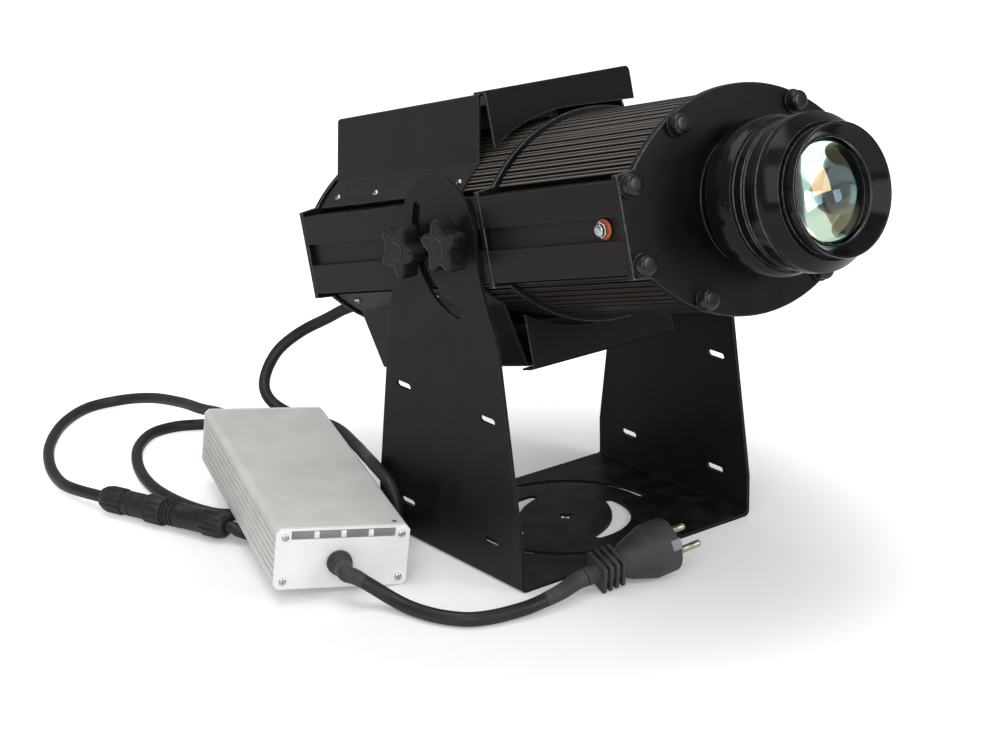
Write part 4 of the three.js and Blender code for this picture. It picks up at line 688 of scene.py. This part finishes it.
def length_of(line):
    return sum((b - a).length for a, b in zip(line, line[1:]))


def part_of(line, start, end):
    """The stretch of a line between two lengths in metres."""
    run = 0.0
    kept = []
    for a, b in zip(line, line[1:]):
        span = (b - a).length
        for wanted in (start, end):
            if run <= wanted < run + span:
                kept.append(a.lerp(b, (wanted - run) / span))
        if start < run + span < end:
            kept.append(b)
        run += span
    return kept


IDENTITY = Matrix.Identity(4)
mains_out = mouth(DRIVER, (43, -10, 18.3), (0, -1, 0))
plug_in = mouth(PLUG, (0, -65, 0), (0, -1, 0))
power_out = mouth(DRIVER, (28, 251, 24), (0, 1, 0))
socket_in = mouth(CONNECTOR, (0, 0, 0), (0, -1, 0))
head_out = mouth(HEAD, (-30, 214.5, -45), (0, 1, 0))
connector_in = mouth(CONNECTOR, (0, 113.6, 0), (0, 1, 0))
mains_line = cord_line(mains_out, MAINS_ROUTE, plug_in, 2 * MAINS_RADIUS)
power_line = cord_line(power_out, POWER_ROUTE, socket_in, 2 * CORD_RADIUS)
head_line = cord_line(head_out, HEAD_ROUTE, connector_in, 2 * CORD_RADIUS)


def make_cord(name, line, radius):
    return piece(name, (tube(line, lambda run: radius * MM, 24), IDENTITY))


def taper(name, line, start, end, thick, thin, ribs=0):
    """A tapered sleeve on a cord, ribbed where ribs says so."""
    stretch = part_of(smooth_line(line, 3) if ribs else line, start * MM, end * MM)
    reach = (end - start) * MM

    def radius_at(run):
        share = min(1, run / reach)
        rib = 0.28 * math.sin(TAU * ribs * share) if ribs else 0.0
        return (thick + (thin - thick) * share + rib) * MM

    return piece(name, (tube(stretch, radius_at, 32), IDENTITY))


mains_cord = fit(make_cord("mains_lead", mains_line, MAINS_RADIUS), "stand", "cord_jacket", "mains_cord")
power_cable = fit(make_cord("power_lead", power_line, CORD_RADIUS), "stand", "cord_jacket", "power_cable")
head_cable = fit(make_cord("head_lead", head_line, CORD_RADIUS), None, "cord_jacket", "head_cable")
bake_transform(head_cable)

mains_length = length_of(mains_line)
plug_end = mains_length / MM
entry_relief = fit(taper("mains_entry_relief", mains_line, 0, 22, 6.1, 4.85), "stand", "plug_rubber")
plug_relief = taper("plug_relief", mains_line, plug_end - 36, plug_end - 0.2, 4.85, 6)
fit(plug_relief, "stand", "plug_rubber")


# ---------------- projector head
FRONT_FACE = 187.0
FRONT_COVER = 182.0
DIVIDER = 44.0
REAR_COVER = -170.0
ARCH_OFFSET = 45.5
TIP_RADIUS = 112.5
PLATE_RADIUS = 116.0
HOOD_SHEET = 1.5


def arch_height(radius, x):
    return math.sqrt(radius * radius - x * x) - ARCH_OFFSET


def plate_outline():
    """Two arches and two flat ears, anticlockwise, sampled closely enough to look round."""
    corner = math.degrees(math.asin(86 / PLATE_RADIUS))
    upper = arc(0, -ARCH_OFFSET, PLATE_RADIUS, 90 - corner, 90 + corner, 56)
    lower = [(-x, -y) for x, y in upper]
    ears = [(-99.5, 31), (-99.5, 0), (-99.5, -31)]
    return upper + ears + lower + [(-x, -y) for x, y in ears]


def opening_reach(x, y, radius, half_width):
    """A point of the housing's bore in the same direction as (x, y)."""
    far = math.hypot(x, y)
    across, up = abs(x) / far, abs(y) / far
    reach = -up * ARCH_OFFSET + math.sqrt((up * ARCH_OFFSET) ** 2 + radius ** 2 - ARCH_OFFSET ** 2)
    if across > 1e-6:
        reach = min(reach, half_width / across)
    return (x / far * reach, y / far * reach)


def open_plate(name, low, high, opening):
    """A plate with an opening whose points pair with the outline's."""
    outer = plate_outline()
    inner = [opening(x, y) for x, y in outer]
    edge = 0.5

    def ring(outline, inset, height):
        return [(x, y, height) for x, y in inset_outline(outline, inset)]

    rings = [
        ring(outer, edge, low), ring(outer, 0, low + edge), ring(outer, 0, high - edge),
        ring(outer, edge, high), ring(inner, 0, high), ring(inner, 0, low),
    ]
    return piece(name, (lofted(rings, looped=True), LENS))


def round_opening(radius):
    return lambda x, y: (x / math.hypot(x, y) * radius, y / math.hypot(x, y) * radius)


def make_plates():
    for name, low, high, opening in [
        ("front_cover", FRONT_COVER, FRONT_FACE, round_opening(33)),
        ("divider_plate", DIVIDER, DIVIDER + 4, lambda x, y: opening_reach(x, y, 104, 88)),
        ("rear_cover", REAR_COVER, REAR_COVER + 4, None),
    ]:
        if opening:
            made = open_plate(name + "_sheet", low, high, opening)
        else:
            made = piece(name + "_sheet", (slab(plate_outline(), low, high, 0.5), LENS))
        fit(made, "head", "black_plate", name, edge=0.15)


FINE_FIN_SPANS = (("rear_housing", -165.6, 43.6), ("front_housing", 48.4, 181.6))
FINE_FIN_GAPS = range(-15, 15)
TIE_GAPS = (8, -9)


def make_fine_fins():
    """A thinner fin in each gap between the main ones, but not where a gap is filled for a tie stud."""
    foot, tip, half = 107.2, 112.2, math.degrees(0.42 / TIP_RADIUS)
    for name, low, high in FINE_FIN_SPANS:
        parts = []
        for up in (-1, 1):
            for gap in [k for k in FINE_FIN_GAPS if k not in TIE_GAPS]:
                corners = []
                for radius, lean in ((foot, -half), (tip, -half), (tip, half), (foot, half)):
                    turn = math.radians((gap + 0.5) * FIN_PITCH + lean)
                    corners.append((radius * math.sin(turn), up * (radius * math.cos(turn) - ARCH_OFFSET)))
                parts.append((lofted([[(x, w, v) for x, w in corners] for v in (low, high)]), LENS))
        fit(piece(name + "_fine_fins", *parts), "head", "black_anodised", edge=0.12)


THUMB_NUTS = [
    (side * x, up * w) for x, w in ((48.65, 52.71), (92, 23.5)) for side in (-1, 1) for up in (1, -1)
]


def make_thumb_nuts():
    """A washer and a cap with a rounded top and a fine lip, on the stud that holds the cover."""
    profile = [
        (0, -15.3), (1.8, -15), (1.8, 0), (7.2, 0), (7.6, 0.25), (7.6, 0.95), (7.3, 1.2), (6.1, 1.3),
        (6.1, 1.9), (6.5, 2.2), (6.5, 5), (6.35, 5.9), (5.9, 6.8), (5.1, 7.4), (4, 7.65), (2.2, 7.7),
        (0, 7.7),
    ]
    for i, (x, w) in enumerate(THUMB_NUTS, 1):
        made = piece(f"cover_nut_{i}", (turned(profile, 40), LENS @ shifted(x, w, FRONT_FACE + 0.3)))
        fit(made, "head", "nut_caps", f"thumb_nut_{i}", edge=0.12)


def knob_place(side, y):
    turn = Matrix(((0, 0, side), (side, 0, 0), (0, 1, 0))).to_4x4()
    return HEAD @ shifted(side * 102.8, y, 0) @ turn


def make_knob(node, side, y, turn_degrees):
    """A five-lobed star on a hub, its face dished inside a raised rim, with a cap in the middle."""
    place = knob_place(side, y)
    first = turn_degrees if side > 0 else 180 - turn_degrees
    star = []
    for k in range(150):
        angle = TAU * k / 150
        radius = 15.15 + 3.35 * math.cos(5 * (angle - math.radians(first)))
        star.append((radius * math.cos(angle), radius * math.sin(angle)))
    levels = [(5, 1.6), (5.25, 0.7), (5.9, 0.15), (6.8, 0), (15.8, 0), (16.9, 0.2), (17.7, 0.8), (18, 1.6)]
    levels += [(18, 2.1), (17.4, 2.5)]
    hub = turned([(0, 0), (8.4, 0), (9, 0.5), (9, 5.2), (0, 5.2)], 48)
    stud = turned([(0, -12.3), (3.4, -12.3), (4, -11.6), (4, 0.1), (0, 0.1)], 32)
    cap = turned([(0, 17.2), (6.2, 17.2), (6.2, 18), (5.9, 18), (5.6, 17.7), (0, 17.8)], 48)
    made = piece(node + "_star", (prism(star, levels), place), (hub, place), (stud, place), (cap, place))
    fit(made, node, "knob_plastic", node, edge=0.2)


def make_knobs():
    for side, hand in ((-1, "left"), (1, "right")):
        make_knob(f"pivot_knob_{hand}", side, 0, 22)
        make_knob(f"lock_knob_{hand}", side, 48, -19)


def make_rear_hood(name, flip):
    """A sheet channel with filleted bends and two flanges that lie on the fins."""
    seat = TIP_RADIUS + 0.3
    half = [(x, arch_height(seat, x)) for x in (83.5, 78.5, 74.75, 70.5)]
    half += [(66, arch_height(seat, 66)), (56, 89.5)]
    path = rounded_path([(-x, w) for x, w in half] + list(reversed(half)), 1.6, 5)
    section = strip(path, HOOD_SHEET)
    rings = [[(x, w, v) for x, w in section] for v in (-163, -162.8, 9.8, 10)]
    made = piece(f"{name}_channel", (lofted(rings), LENS @ flip))
    return fit(made, "head", "hood_sheet", name, edge=0.3)


def make_front_hood(name, up):
    """Roof sheet bent down into a flap, whose lower edge clears the fins and the divider's rim."""
    top, roof_back, half, face, cut, bend = 91, 10.3, 61.5, 22, 118, 2.6
    level_from, level_foot, steps = 8, 69.8, 8  # from here across, the lower edge runs nearly level
    foot = 180 - math.degrees(math.acos(half / cut))
    lower = arc(0, -ARCH_OFFSET, cut, foot, math.degrees(math.acos(level_from / cut)), 26)
    last = lower[-1][1]
    for k in range(1, steps + 1):
        lower.append((level_from + (half - level_from) * k / steps, last + (level_foot - last) * k / steps))
    turns = [TAU / 4 * k / 6 for k in range(7)]
    corner = [(face - bend * (1 - math.cos(a)), top - bend * (1 - math.sin(a))) for a in turns]
    rings = []
    for x, foot_w in lower:
        ring = strip([Vector(p) for p in ((face, foot_w), *corner, (roof_back, top))], -HOOD_SHEET)
        rings.append([(x, up * w, v) for v, w in ring])
    made = piece(f"{name}_flap", (lofted(rings), LENS))
    # The front hood gets the darker copy of the hood sheet, as painted shade.
    return fit(made, "head", "hood_sheet", name, edge=0.3, finish="shaded_flap_sheet")


def screw_head(radius, height):
    """A button head with a hexagonal socket."""
    domed = [(radius * math.cos(a), height * math.sin(a)) for a in (0, 0.35, 0.7, 1, 1.2)]
    profile = [(0, -1.0), (radius * 0.5, -1.0), (radius * 0.5, 0), (radius, 0), *domed[1:]]
    profile += [(radius * 0.42, height, 1), (radius * 0.42, height * 0.35, 1), (0, height * 0.3)]
    return turned(profile, 36, shape=hexagon)


HOOD_SCREWS_ALONG = (-147, -98, -48, 2)
HOOD_SCREW_ANGLE = 43.7
FLAP_FACE = 22


def make_hoods():
    flange = TIP_RADIUS + 0.3 + HOOD_SHEET
    screw = screw_head(2.6, 1.7)
    for name, flip, up in (("top", IDENTITY, 1), ("bottom", rolled(180, "Z"), -1)):
        make_rear_hood(f"{name}_rear_hood", flip)
        make_front_hood(f"{name}_front_hood", up)
        parts = []
        for v in HOOD_SCREWS_ALONG:
            for side in (-1, 1):
                lean = shifted(0, -ARCH_OFFSET, v) @ rolled(-side * HOOD_SCREW_ANGLE, "Z")
                lean = lean @ shifted(0, flange, 0)
                parts.append((screw, LENS @ flip @ lean @ rolled(-90, "X")))
        fit(piece(f"{name}_hood_screws", *parts), "head", "zinc_steel", edge=0.1)
    clinch = turned([(0, -0.5), (1.9, -0.5), (1.9, 0.2), (1.6, 0.7), (0.9, 0.95), (0, 1)], 24)
    parts = [(clinch, LENS @ shifted(-54.5, w, FLAP_FACE)) for w in (61.5, -61.5)]
    fit(piece("hood_flap_rivets", *parts), "head", "nut_caps")


# ---------------- projection lens
COLLAR_END = FRONT_FACE + 34
NOSE_END = COLLAR_END + 35.3
FRONT_GLASS_RADIUS, FRONT_GLASS_BULGE = 30.6, 7
REAR_GLASS_RADIUS, REAR_GLASS_BULGE = 29, 4


def lens_part(name, profile, body, node, slot="lens_black", looped=True, edge=0.1):
    """A turned part on the lens axis."""
    return fit(piece(name, (turned(profile, looped=looped), LENS)), body, slot, node, edge=edge)


def make_lens():
    lens_part("focus_collar", [
        (32.4, 187.3), (41.6, 187.3), (42, 187.7), (42, 189.9), (41.6, 190.3), (35.6, 190.3), (35, 190.9),
        (35, 199.8), (36.5, 201), (47.6, 201), (48.5, 201.8), (48.5, 216.9), (48.1, 217.6), (46.7, 220.8),
        (46.3, 221), (45.9, 221), (45.9, 204), (32.4, 204),
    ], "head", "lens_collar", edge=0.12)
    grooves = [(45.5, 215)]
    for at in (222.2, 229, 231.4):
        grooves += [(45.5, at), (45.1, at + 0.3), (45.1, at + 0.6), (45.5, at + 0.9)]
    grooves += [(45.5, 239.2), (44.9, 240)]
    lens_part("barrel_tube", [
        (29.3, 170), (31.7, 170), (32, 170.4), (32, 215), *grooves, (38, 240), (38, 256.3), (33.9, 256.3),
        (33.9, 250), (31.3, 250), (28, 215), (28, 174.6), (29.3, 174.6),
    ], "barrel", "lens_barrel")
    lens_part("focus_grip", [
        (38.4, 240.3), (46.9, 240.3), (47.5, 240.8), (47.5, 243.4), (47.1, 243.7), (47.1, 244.1),
        (47.5, 244.4), (47.5, 248.3), (47.2, 248.9), (41.4, 255.3), (41, 255.8), (38.4, 255.8),
    ], "focus_ring", "focus_ring")
    lens_part("barrel_bezel", [
        (31.3, 256.6), (37.6, 256.6), (38.1, 257.1), (39.9, 266.4), (39.7, 267), (38.5, 267), (38, 266.6),
        (35.6, 262.4), (35.3, 262.2), (34.6, 260.9), (34.3, 260.7), (33.2, 259), (32.4, 258.3),
        (31.3, 258.2),
    ], "barrel", "lens_bezel")
    seat = NOSE_END - 6.3 + 0.3
    radius, bulge = FRONT_GLASS_RADIUS, FRONT_GLASS_BULGE
    sphere = (radius ** 2 + bulge ** 2) / (2 * bulge)
    reach = math.asin(radius / sphere)
    bends = [reach * k / 24 for k in range(23, 0, -1)]
    cap = [(sphere * math.sin(a), seat + 12 - sphere * (1 - math.cos(a))) for a in bends]
    front = raised(seat, [(0, 0), (33.4, 0), (33.6, 0.3), (33.6, 4.8), (33.3, 5), (radius, 5)])
    glass = dict(slot="coated_glass", looped=False, edge=0.0)
    lens_part("front_element", front + cap + [(0, seat + 12)], "barrel", "front_lens", **glass)
    radius, bulge = REAR_GLASS_RADIUS, REAR_GLASS_BULGE
    bends = [TAU / 4 * k / 16 for k in range(1, 16)]
    back = [(radius * math.sin(a), 174.3 - bulge * math.cos(a)) for a in bends]
    rear = [(0, 170.3), *back, (29, 174.3), (29, 178.3), (0, 178.3)]
    lens_part("rear_element", rear, "barrel", "rear_lens", **glass)
    screw = [(0, -2.4), (2, -2.4), (2, 0.1), (1.7, 0.3), (0.9, 0.3, 1), (0.9, -0.8, 1), (0, -0.8)]
    on_ring = LENS @ shifted(0, 0, COLLAR_END - 4) @ rolled(175, "Z") @ shifted(48.5, 0, 0) @ rolled(90, "Y")
    made = piece("collar_grub_screw", (turned(screw, 32, shape=hexagon), on_ring))
    fit(made, "head", "lens_black", "focus_lock_screw")


def make_vent():
    """A chromed vent on its hexagonal base, with the seal under it."""
    groove = HEAD @ shifted(-95.5, -140.5, 0) @ rolled(-90, "Y")
    valve = [
        (0, -6), (2.8, -6), (2.8, 2.2), (5.2, 2.2, 1), (5.2, 3.9, 1), (4.9, 4.2, 1), (4.1, 4.2),
        (4, 4.5), (3.9, 5.6), (3.3, 6.3), (2.3, 6.75), (1.7, 6.8), (1.5, 6.3), (0, 6.2),
    ]
    made = piece("vent_cap", (turned(valve, 48, shape=hexagon), groove))
    fit(made, "head", "zinc_steel", "vent_valve", edge=0.12)
    seal = [(3.1, 0.3), (6, 0.3), (6.4, 0.7), (6.4, 1.5), (6, 1.9), (3.1, 1.9)]
    fit(piece("vent_washer", (turned(seal, 64, looped=True), groove)), "head", "orange_rubber", "vent_seal")


# ---------------- cable entries
def gland_shells(stem):
    """A hexagonal base, and a fluted, rounded nut with a rubber seal in its mouth."""
    base = turned([
        (0, -stem), (6, -stem), (6, 0.3), (9.7, 0.3, 1), (10.6, 0.8, 1), (10.6, 5.5, 1), (9.9, 6, 1),
        (7.5, 6.1), (0, 6.1),
    ], 72, shape=hexagon)
    nut = turned([
        (0, 6), (7.9, 6), (8, 6.8), (8.8, 7.2, 0.6), (8.8, 13.5, 1), (8.5, 15.5, 1),
        (7.8, 18, 0.6), (6.9, 20), (6.2, 20.8), (5.6, 21), (4.9, 20.5), (0, 20.5),
    ], 96, shape=fluted(12, 0.07))
    return base, nut


def make_glands():
    for name, place, body, stem in [
        ("head_gland", HEAD @ shifted(-30, 193.5, -45) @ rolled(-90, "X"), "head", 5),
        ("power_gland", DRIVER @ shifted(28, DRIVER_LENGTH, 24) @ rolled(-90, "X"), "stand", 3.3),
    ]:
        parts = [(shell, place) for shell in gland_shells(stem)]
        fit(piece(f"{name}_nut", *parts), body, "gland_plastic", name, edge=0.25)
    place = DRIVER @ shifted(43, 0, 18.3) @ rolled(90, "X")
    grommet = [
        (0, -3.3), (6, -3.3), (6, 0.3), (8, 0.3), (8.5, 0.8), (8.5, 2.6), (8.1, 3.1), (7, 3.3),
        (7, 3.9), (7.9, 4.2), (8, 5.4), (7.6, 5.8), (6.6, 6), (6.6, 6.6), (7.2, 6.9), (7.2, 8.2),
        (6.8, 8.6), (6.2, 8.8), (6.2, 9.6), (5.9, 10), (0, 10),
    ]
    made = piece("mains_entry_grommet", (turned(grommet, 64), place))
    fit(made, "stand", "plug_rubber", "mains_gland", edge=0.15)


# ---------------- plug and connector
def make_plug():
    """A round plug with its pins and earth clips, a grip of square plates and a short tail."""
    place = PLUG @ rolled(90, "X")  # z runs from the face back to the cord
    body = [
        (0, 0), (16.4, 0), (17.2, 0.2), (18.2, 0.7), (18.5, 1.5), (18.5, 15.8), (18.25, 17.3), (17.5, 19.2),
        (16.3, 22.6), (14.9, 27), (13.6, 31), (12.7, 33.4), (10.9, 36.6), (9.3, 39.2), (8.6, 41), (8.5, 42),
        (8.5, 57), (6.5, 57.4), (6.2, 58.4), (6.2, 64.2), (5.6, 65), (0, 65),
    ]
    parts = [(turned(body), place)]
    for i in range(4):
        levels = [(0, 0.5), (0.35, 0.1), (0.8, 0), (1.8, 0), (2.25, 0.1), (2.6, 0.5)]
        levels = [(40 + 4.8 * i + height, inset) for height, inset in levels]
        parts.append((prism(rounded_box(10.8, 10.8, 1.9), levels), place))
    plug = fit(piece("plug_body", *parts), "stand", "plug_rubber", "mains_plug", edge=0.2)
    pin = [(0, -19), (1.3, -18.9), (2.1, -18.2), (2.4, -17.2), (2.4, 0.5), (0, 0.5)]
    pins = piece("plug_pins", *[(turned(pin, 32), place @ shifted(x, 0, 0)) for x in (-9.5, 9.5)])
    fit(pins, "stand", "zinc_steel", finish="pin_metal")
    clips = []
    for angle in (40, 220):
        on_rim = place @ rolled(angle, "Z")
        path = rounded_path([(11.6, -0.35), (18.9, -0.35), (18.9, 6.4), (18.2, 7.2)], 0.9, 4)
        section = strip(path, 0.5)
        rings = [[(x, y, z) for x, z in section] for y in (-3.6, -3.4, 3.4, 3.6)]
        clips.append((lofted(rings), on_rim))
    clips = fit(piece("plug_earth_clips", *clips), "stand", "zinc_steel", finish="clip_steel")
    return plug, pins, clips


def make_connector():
    """Two gland nuts, a body with flats, the coupling nut, two sealing rings and the cable's body."""
    place = CONNECTOR @ rolled(-90, "X")
    socket_nut = [
        (0, 0), (5.8, 0), (7.2, 0.6), (8.8, 3.6, 0.6), (9.7, 7, 1), (9.8, 9, 1), (9.8, 19.6, 1),
        (9.4, 20.8, 1), (8.4, 21), (0, 21),
    ]
    socket_body = [
        (0, 20.9), (8.4, 20.9), (8.4, 22.4), (9, 22.8), (9, 27.6), (8.3, 28), (8.3, 29.6), (9, 30),
        (9, 41.4), (8.6, 42), (6.5, 42), (6.5, 49), (0, 49),
    ]
    parts = [(turned(socket_nut, 120, shape=fluted(10, 0.09)), place), (turned(socket_body, 64), place)]
    socket = fit(piece("cable_socket", *parts), "stand", "gland_plastic", "connector_socket", edge=0.25)
    coupling = [
        (6.8, 42.3), (9.6, 42.3), (10.3, 42.9), (10.3, 44.4), (9.9, 44.8), (9.9, 45.2, 1),
        (10.4, 45.8, 1), (10.4, 56.8, 1), (10, 57.6, 1), (9.6, 58.3), (6.8, 58.3),
    ]
    shell = turned(coupling, 120, looped=True, shape=fluted(8, 0.075))
    nut = fit(piece("coupling_ring", (shell, place)), "stand", "gland_plastic", "connector_nut", edge=0.2)
    start = 58.6
    cable_body = raised(start, [(0, -7), (6.5, -7), (6.5, 0), (8.4, 0)])
    for i in range(3):
        cable_body += raised(start + 3.67 * i, [(9, 0.3), (9, 1.6), (7.8, 1.9), (7.8, 3.5)])
    cable_body += raised(start, [(9, 11.3), (9, 14), (8.7, 15), (8.7, 34), (9, 35), (9, 36), (0, 36)])
    back_nut = raised(start, [
        (0, 35.9), (8.6, 35.9), (9.4, 36.2, 1), (9.8, 37.2, 1), (9.8, 48, 1), (9.5, 50, 0.8),
        (8.4, 53), (7, 54.5), (5.8, 55), (0, 55),
    ])
    parts = [(turned(cable_body, 64), place), (turned(back_nut, 120, shape=fluted(10, 0.09)), place)]
    plug = fit(piece("cable_plug", *parts), "stand", "gland_plastic", "connector_plug", edge=0.2)
    return socket, nut, plug


# ---------------- driver
STRIP_MIDDLE = (45, 37.8)  # across and up on the driver's front plate
TABS_ACROSS = (27, 45, 63.5)
CASE_HOLE = (81, 8)
BOSS_HEIGHT = 0.6


def make_driver_details():
    """Corner screws on both end plates, the front plate's tabs, a grey sheet in its strip as painted shade
    of the recess, and a black disc as painted shade of a hole in the case.
    """
    parts = []
    bosses = []
    boss = turned([(0, -0.2), (4.2, -0.2), (4.2, 0.3), (3.9, BOSS_HEIGHT), (0, BOSS_HEIGHT)], 40)
    for x in (5.8, 84.2):
        for z in (5.8, 36.6):
            for y, out in ((0, 90), (DRIVER_LENGTH, -90)):
                place = DRIVER @ shifted(x, y, z) @ rolled(out, "X")
                bosses.append((boss, place))
                parts.append((screw_head(2.6, 1.2), place @ shifted(0, 0, BOSS_HEIGHT)))
    fit(piece("end_plate_screws", *parts), "stand", "zinc_steel", edge=0.08)
    # The bosses take the end plates' brighter copy of the case finish: painted light.
    fit(piece("end_plate_bosses", *bosses), "stand", "silver_case", edge=0.1, finish="lit_silver_plate")
    strip_across, strip_up = STRIP_MIDDLE
    tab = slab(rounded_box(1.7, 2.4, 0.5, 3), 0, 0.9, 0.15)
    tabs = [(tab, DRIVER @ shifted(x, 0.95, strip_up) @ rolled(90, "X")) for x in TABS_ACROSS]
    # Tabs in the brighter copy of the case finish: painted light.
    fit(piece("front_plate_tabs", *tabs), "stand", "silver_case", finish="lit_silver_plate")
    # A thin grey sheet in the front plate's strip: painted shade of the recess.
    sheet = slab(rounded_box(34.8, 2.8, 0.6, 3), 0.02, 0.3, 0.05)
    strip_place = DRIVER @ shifted(strip_across, 0.9, strip_up) @ rolled(90, "X")
    fit(piece("strip_recess_shade_sheet", (sheet, strip_place)), "stand", "silver_case", finish="strip_recess_shade")
    # A black disc over the hole in the case top: painted shade of the hole.
    disc = turned([(0, 41.2), (1.9, 41.2), (1.9, 42), (0, 42)], 32)
    hole_shade_disc = piece("case_hole_shade_disc", (disc, DRIVER @ shifted(*CASE_HOLE, 0)))
    fit(hole_shade_disc, "stand", "silver_case", finish="nut_caps")


make_plates()
make_fine_fins()
make_thumb_nuts()
make_knobs()
make_hoods()
make_lens()
make_vent()
make_glands()
plug, pins, clips = make_plug()
socket, coupling, cable_plug = make_connector()
make_driver_details()

# The solids that are kept, by the width of their softened edges
KEPT = {
    0.3: ("yoke_bracket", "top_fan_frame", "bottom_fan_frame", "condenser_holder", "gobo_stage",
          "gobo_motor"),
    0.25: ("rear_housing", "front_housing", "driver_case"),
    0.2: ("driver_front_plate", "driver_rear_plate", "driver_board", "top_fan_rotor", "bottom_fan_rotor",
          "heat_sink", "led_module"),
    0.15: ("gobo_gear", "gobo_glass", "gobo_clip", "motor_pinion"),
    0.1: ("condenser_lens",),
}
for edge, nodes in KEPT.items():
    for node in nodes:
        dress(node, edge)


# ---------------- floor, light and background
def empty_tree(owner):
    owner.use_nodes = True
    owner.node_tree.nodes.clear()
    return owner.node_tree


def ways_seen(tree):
    """1 where the camera sees a thing, straight or through glass, and 1 where a reflection does."""
    path = step(tree, "LightPath").outputs
    return sums(tree, "MAXIMUM", path["Is Camera Ray"], path["Is Transmission Ray"]), path["Is Glossy Ray"]


FLOOR_HALF = 8.0
FLOOR_COLOUR = (0.88, 0.88, 0.88)
WHITE = (1, 1, 1)


def make_floor():
    """A matt floor whose glow, for the camera, grows with the distance from the middle."""
    mesh = bpy.data.meshes.new("pale_floor")
    corners = [(x * FLOOR_HALF, y * FLOOR_HALF, 0) for x, y in ((-1, -1), (1, -1), (1, 1), (-1, 1))]
    mesh.from_pydata(corners, [], [(0, 1, 2, 3)])
    floor = add_object("pale_floor", mesh)
    made = bpy.data.materials.new("pale_floor")
    tree = empty_tree(made)
    seen, mirrored = ways_seen(tree)
    seen = times(tree, mirrored, 0.2, seen)
    away = ramp(tree, vector_sums(tree, "LENGTH", place_on(tree), output="Value"), 0.17, 0.42)
    share = times(tree, seen, times(tree, away, 0.55, 0.17))
    matt = step(tree, "BsdfDiffuse", {"Color": opaque(FLOOR_COLOUR)}).outputs[0]
    white = step(tree, "Emission", {"Color": opaque(WHITE), "Strength": share}).outputs[0]
    both = step(tree, "AddShader", {0: matt, 1: white})
    step(tree, "OutputMaterial", {"Surface": both.outputs[0]})
    mesh.materials.append(made)


def make_world():
    """White where the camera sees it, and dimmer for reflections and for the light it gives."""
    world = bpy.data.worlds.new("white_room")
    bpy.context.scene.world = world
    tree = empty_tree(world)
    seen, mirrored = ways_seen(tree)
    unseen = times(tree, mirrored, -0.15, 0.45)
    share = times(tree, seen, 0.55, unseen)
    sky = step(tree, "Background", {"Color": opaque(WHITE), "Strength": share})
    step(tree, "OutputWorld", {"Surface": sky.outputs[0]})


def soft_light(name, place, aim, width, height, share):
    """A softbox that gives the part this share of plain white light."""
    data = bpy.data.lights.new(name, "AREA")
    data.shape = "RECTANGLE"
    data.size, data.size_y = width, height
    way = Vector(aim) - Vector(place)
    data.energy = math.pi ** 2 * share * way.length_squared
    turn = way.to_track_quat("-Z", "Y").to_matrix().to_4x4()
    add_object(name, data).matrix_world = Matrix.Translation(place) @ turn


MIDDLE = (0, 0, 0.18)
make_floor()
make_world()
soft_light("front_softbox", (0.85, -1.85, 1), MIDDLE, 0.75, 0.85, 0.22)
soft_light("left_softbox", (-1.35, -1.6, 1.35), MIDDLE, 1.9, 1.9, 0.42)
soft_light("top_softbox", (-0.3, 0.3, 1.9), MIDDLE, 1.2, 1.2, 0.35)
bpy.context.scene.view_settings.view_transform = "Standard"
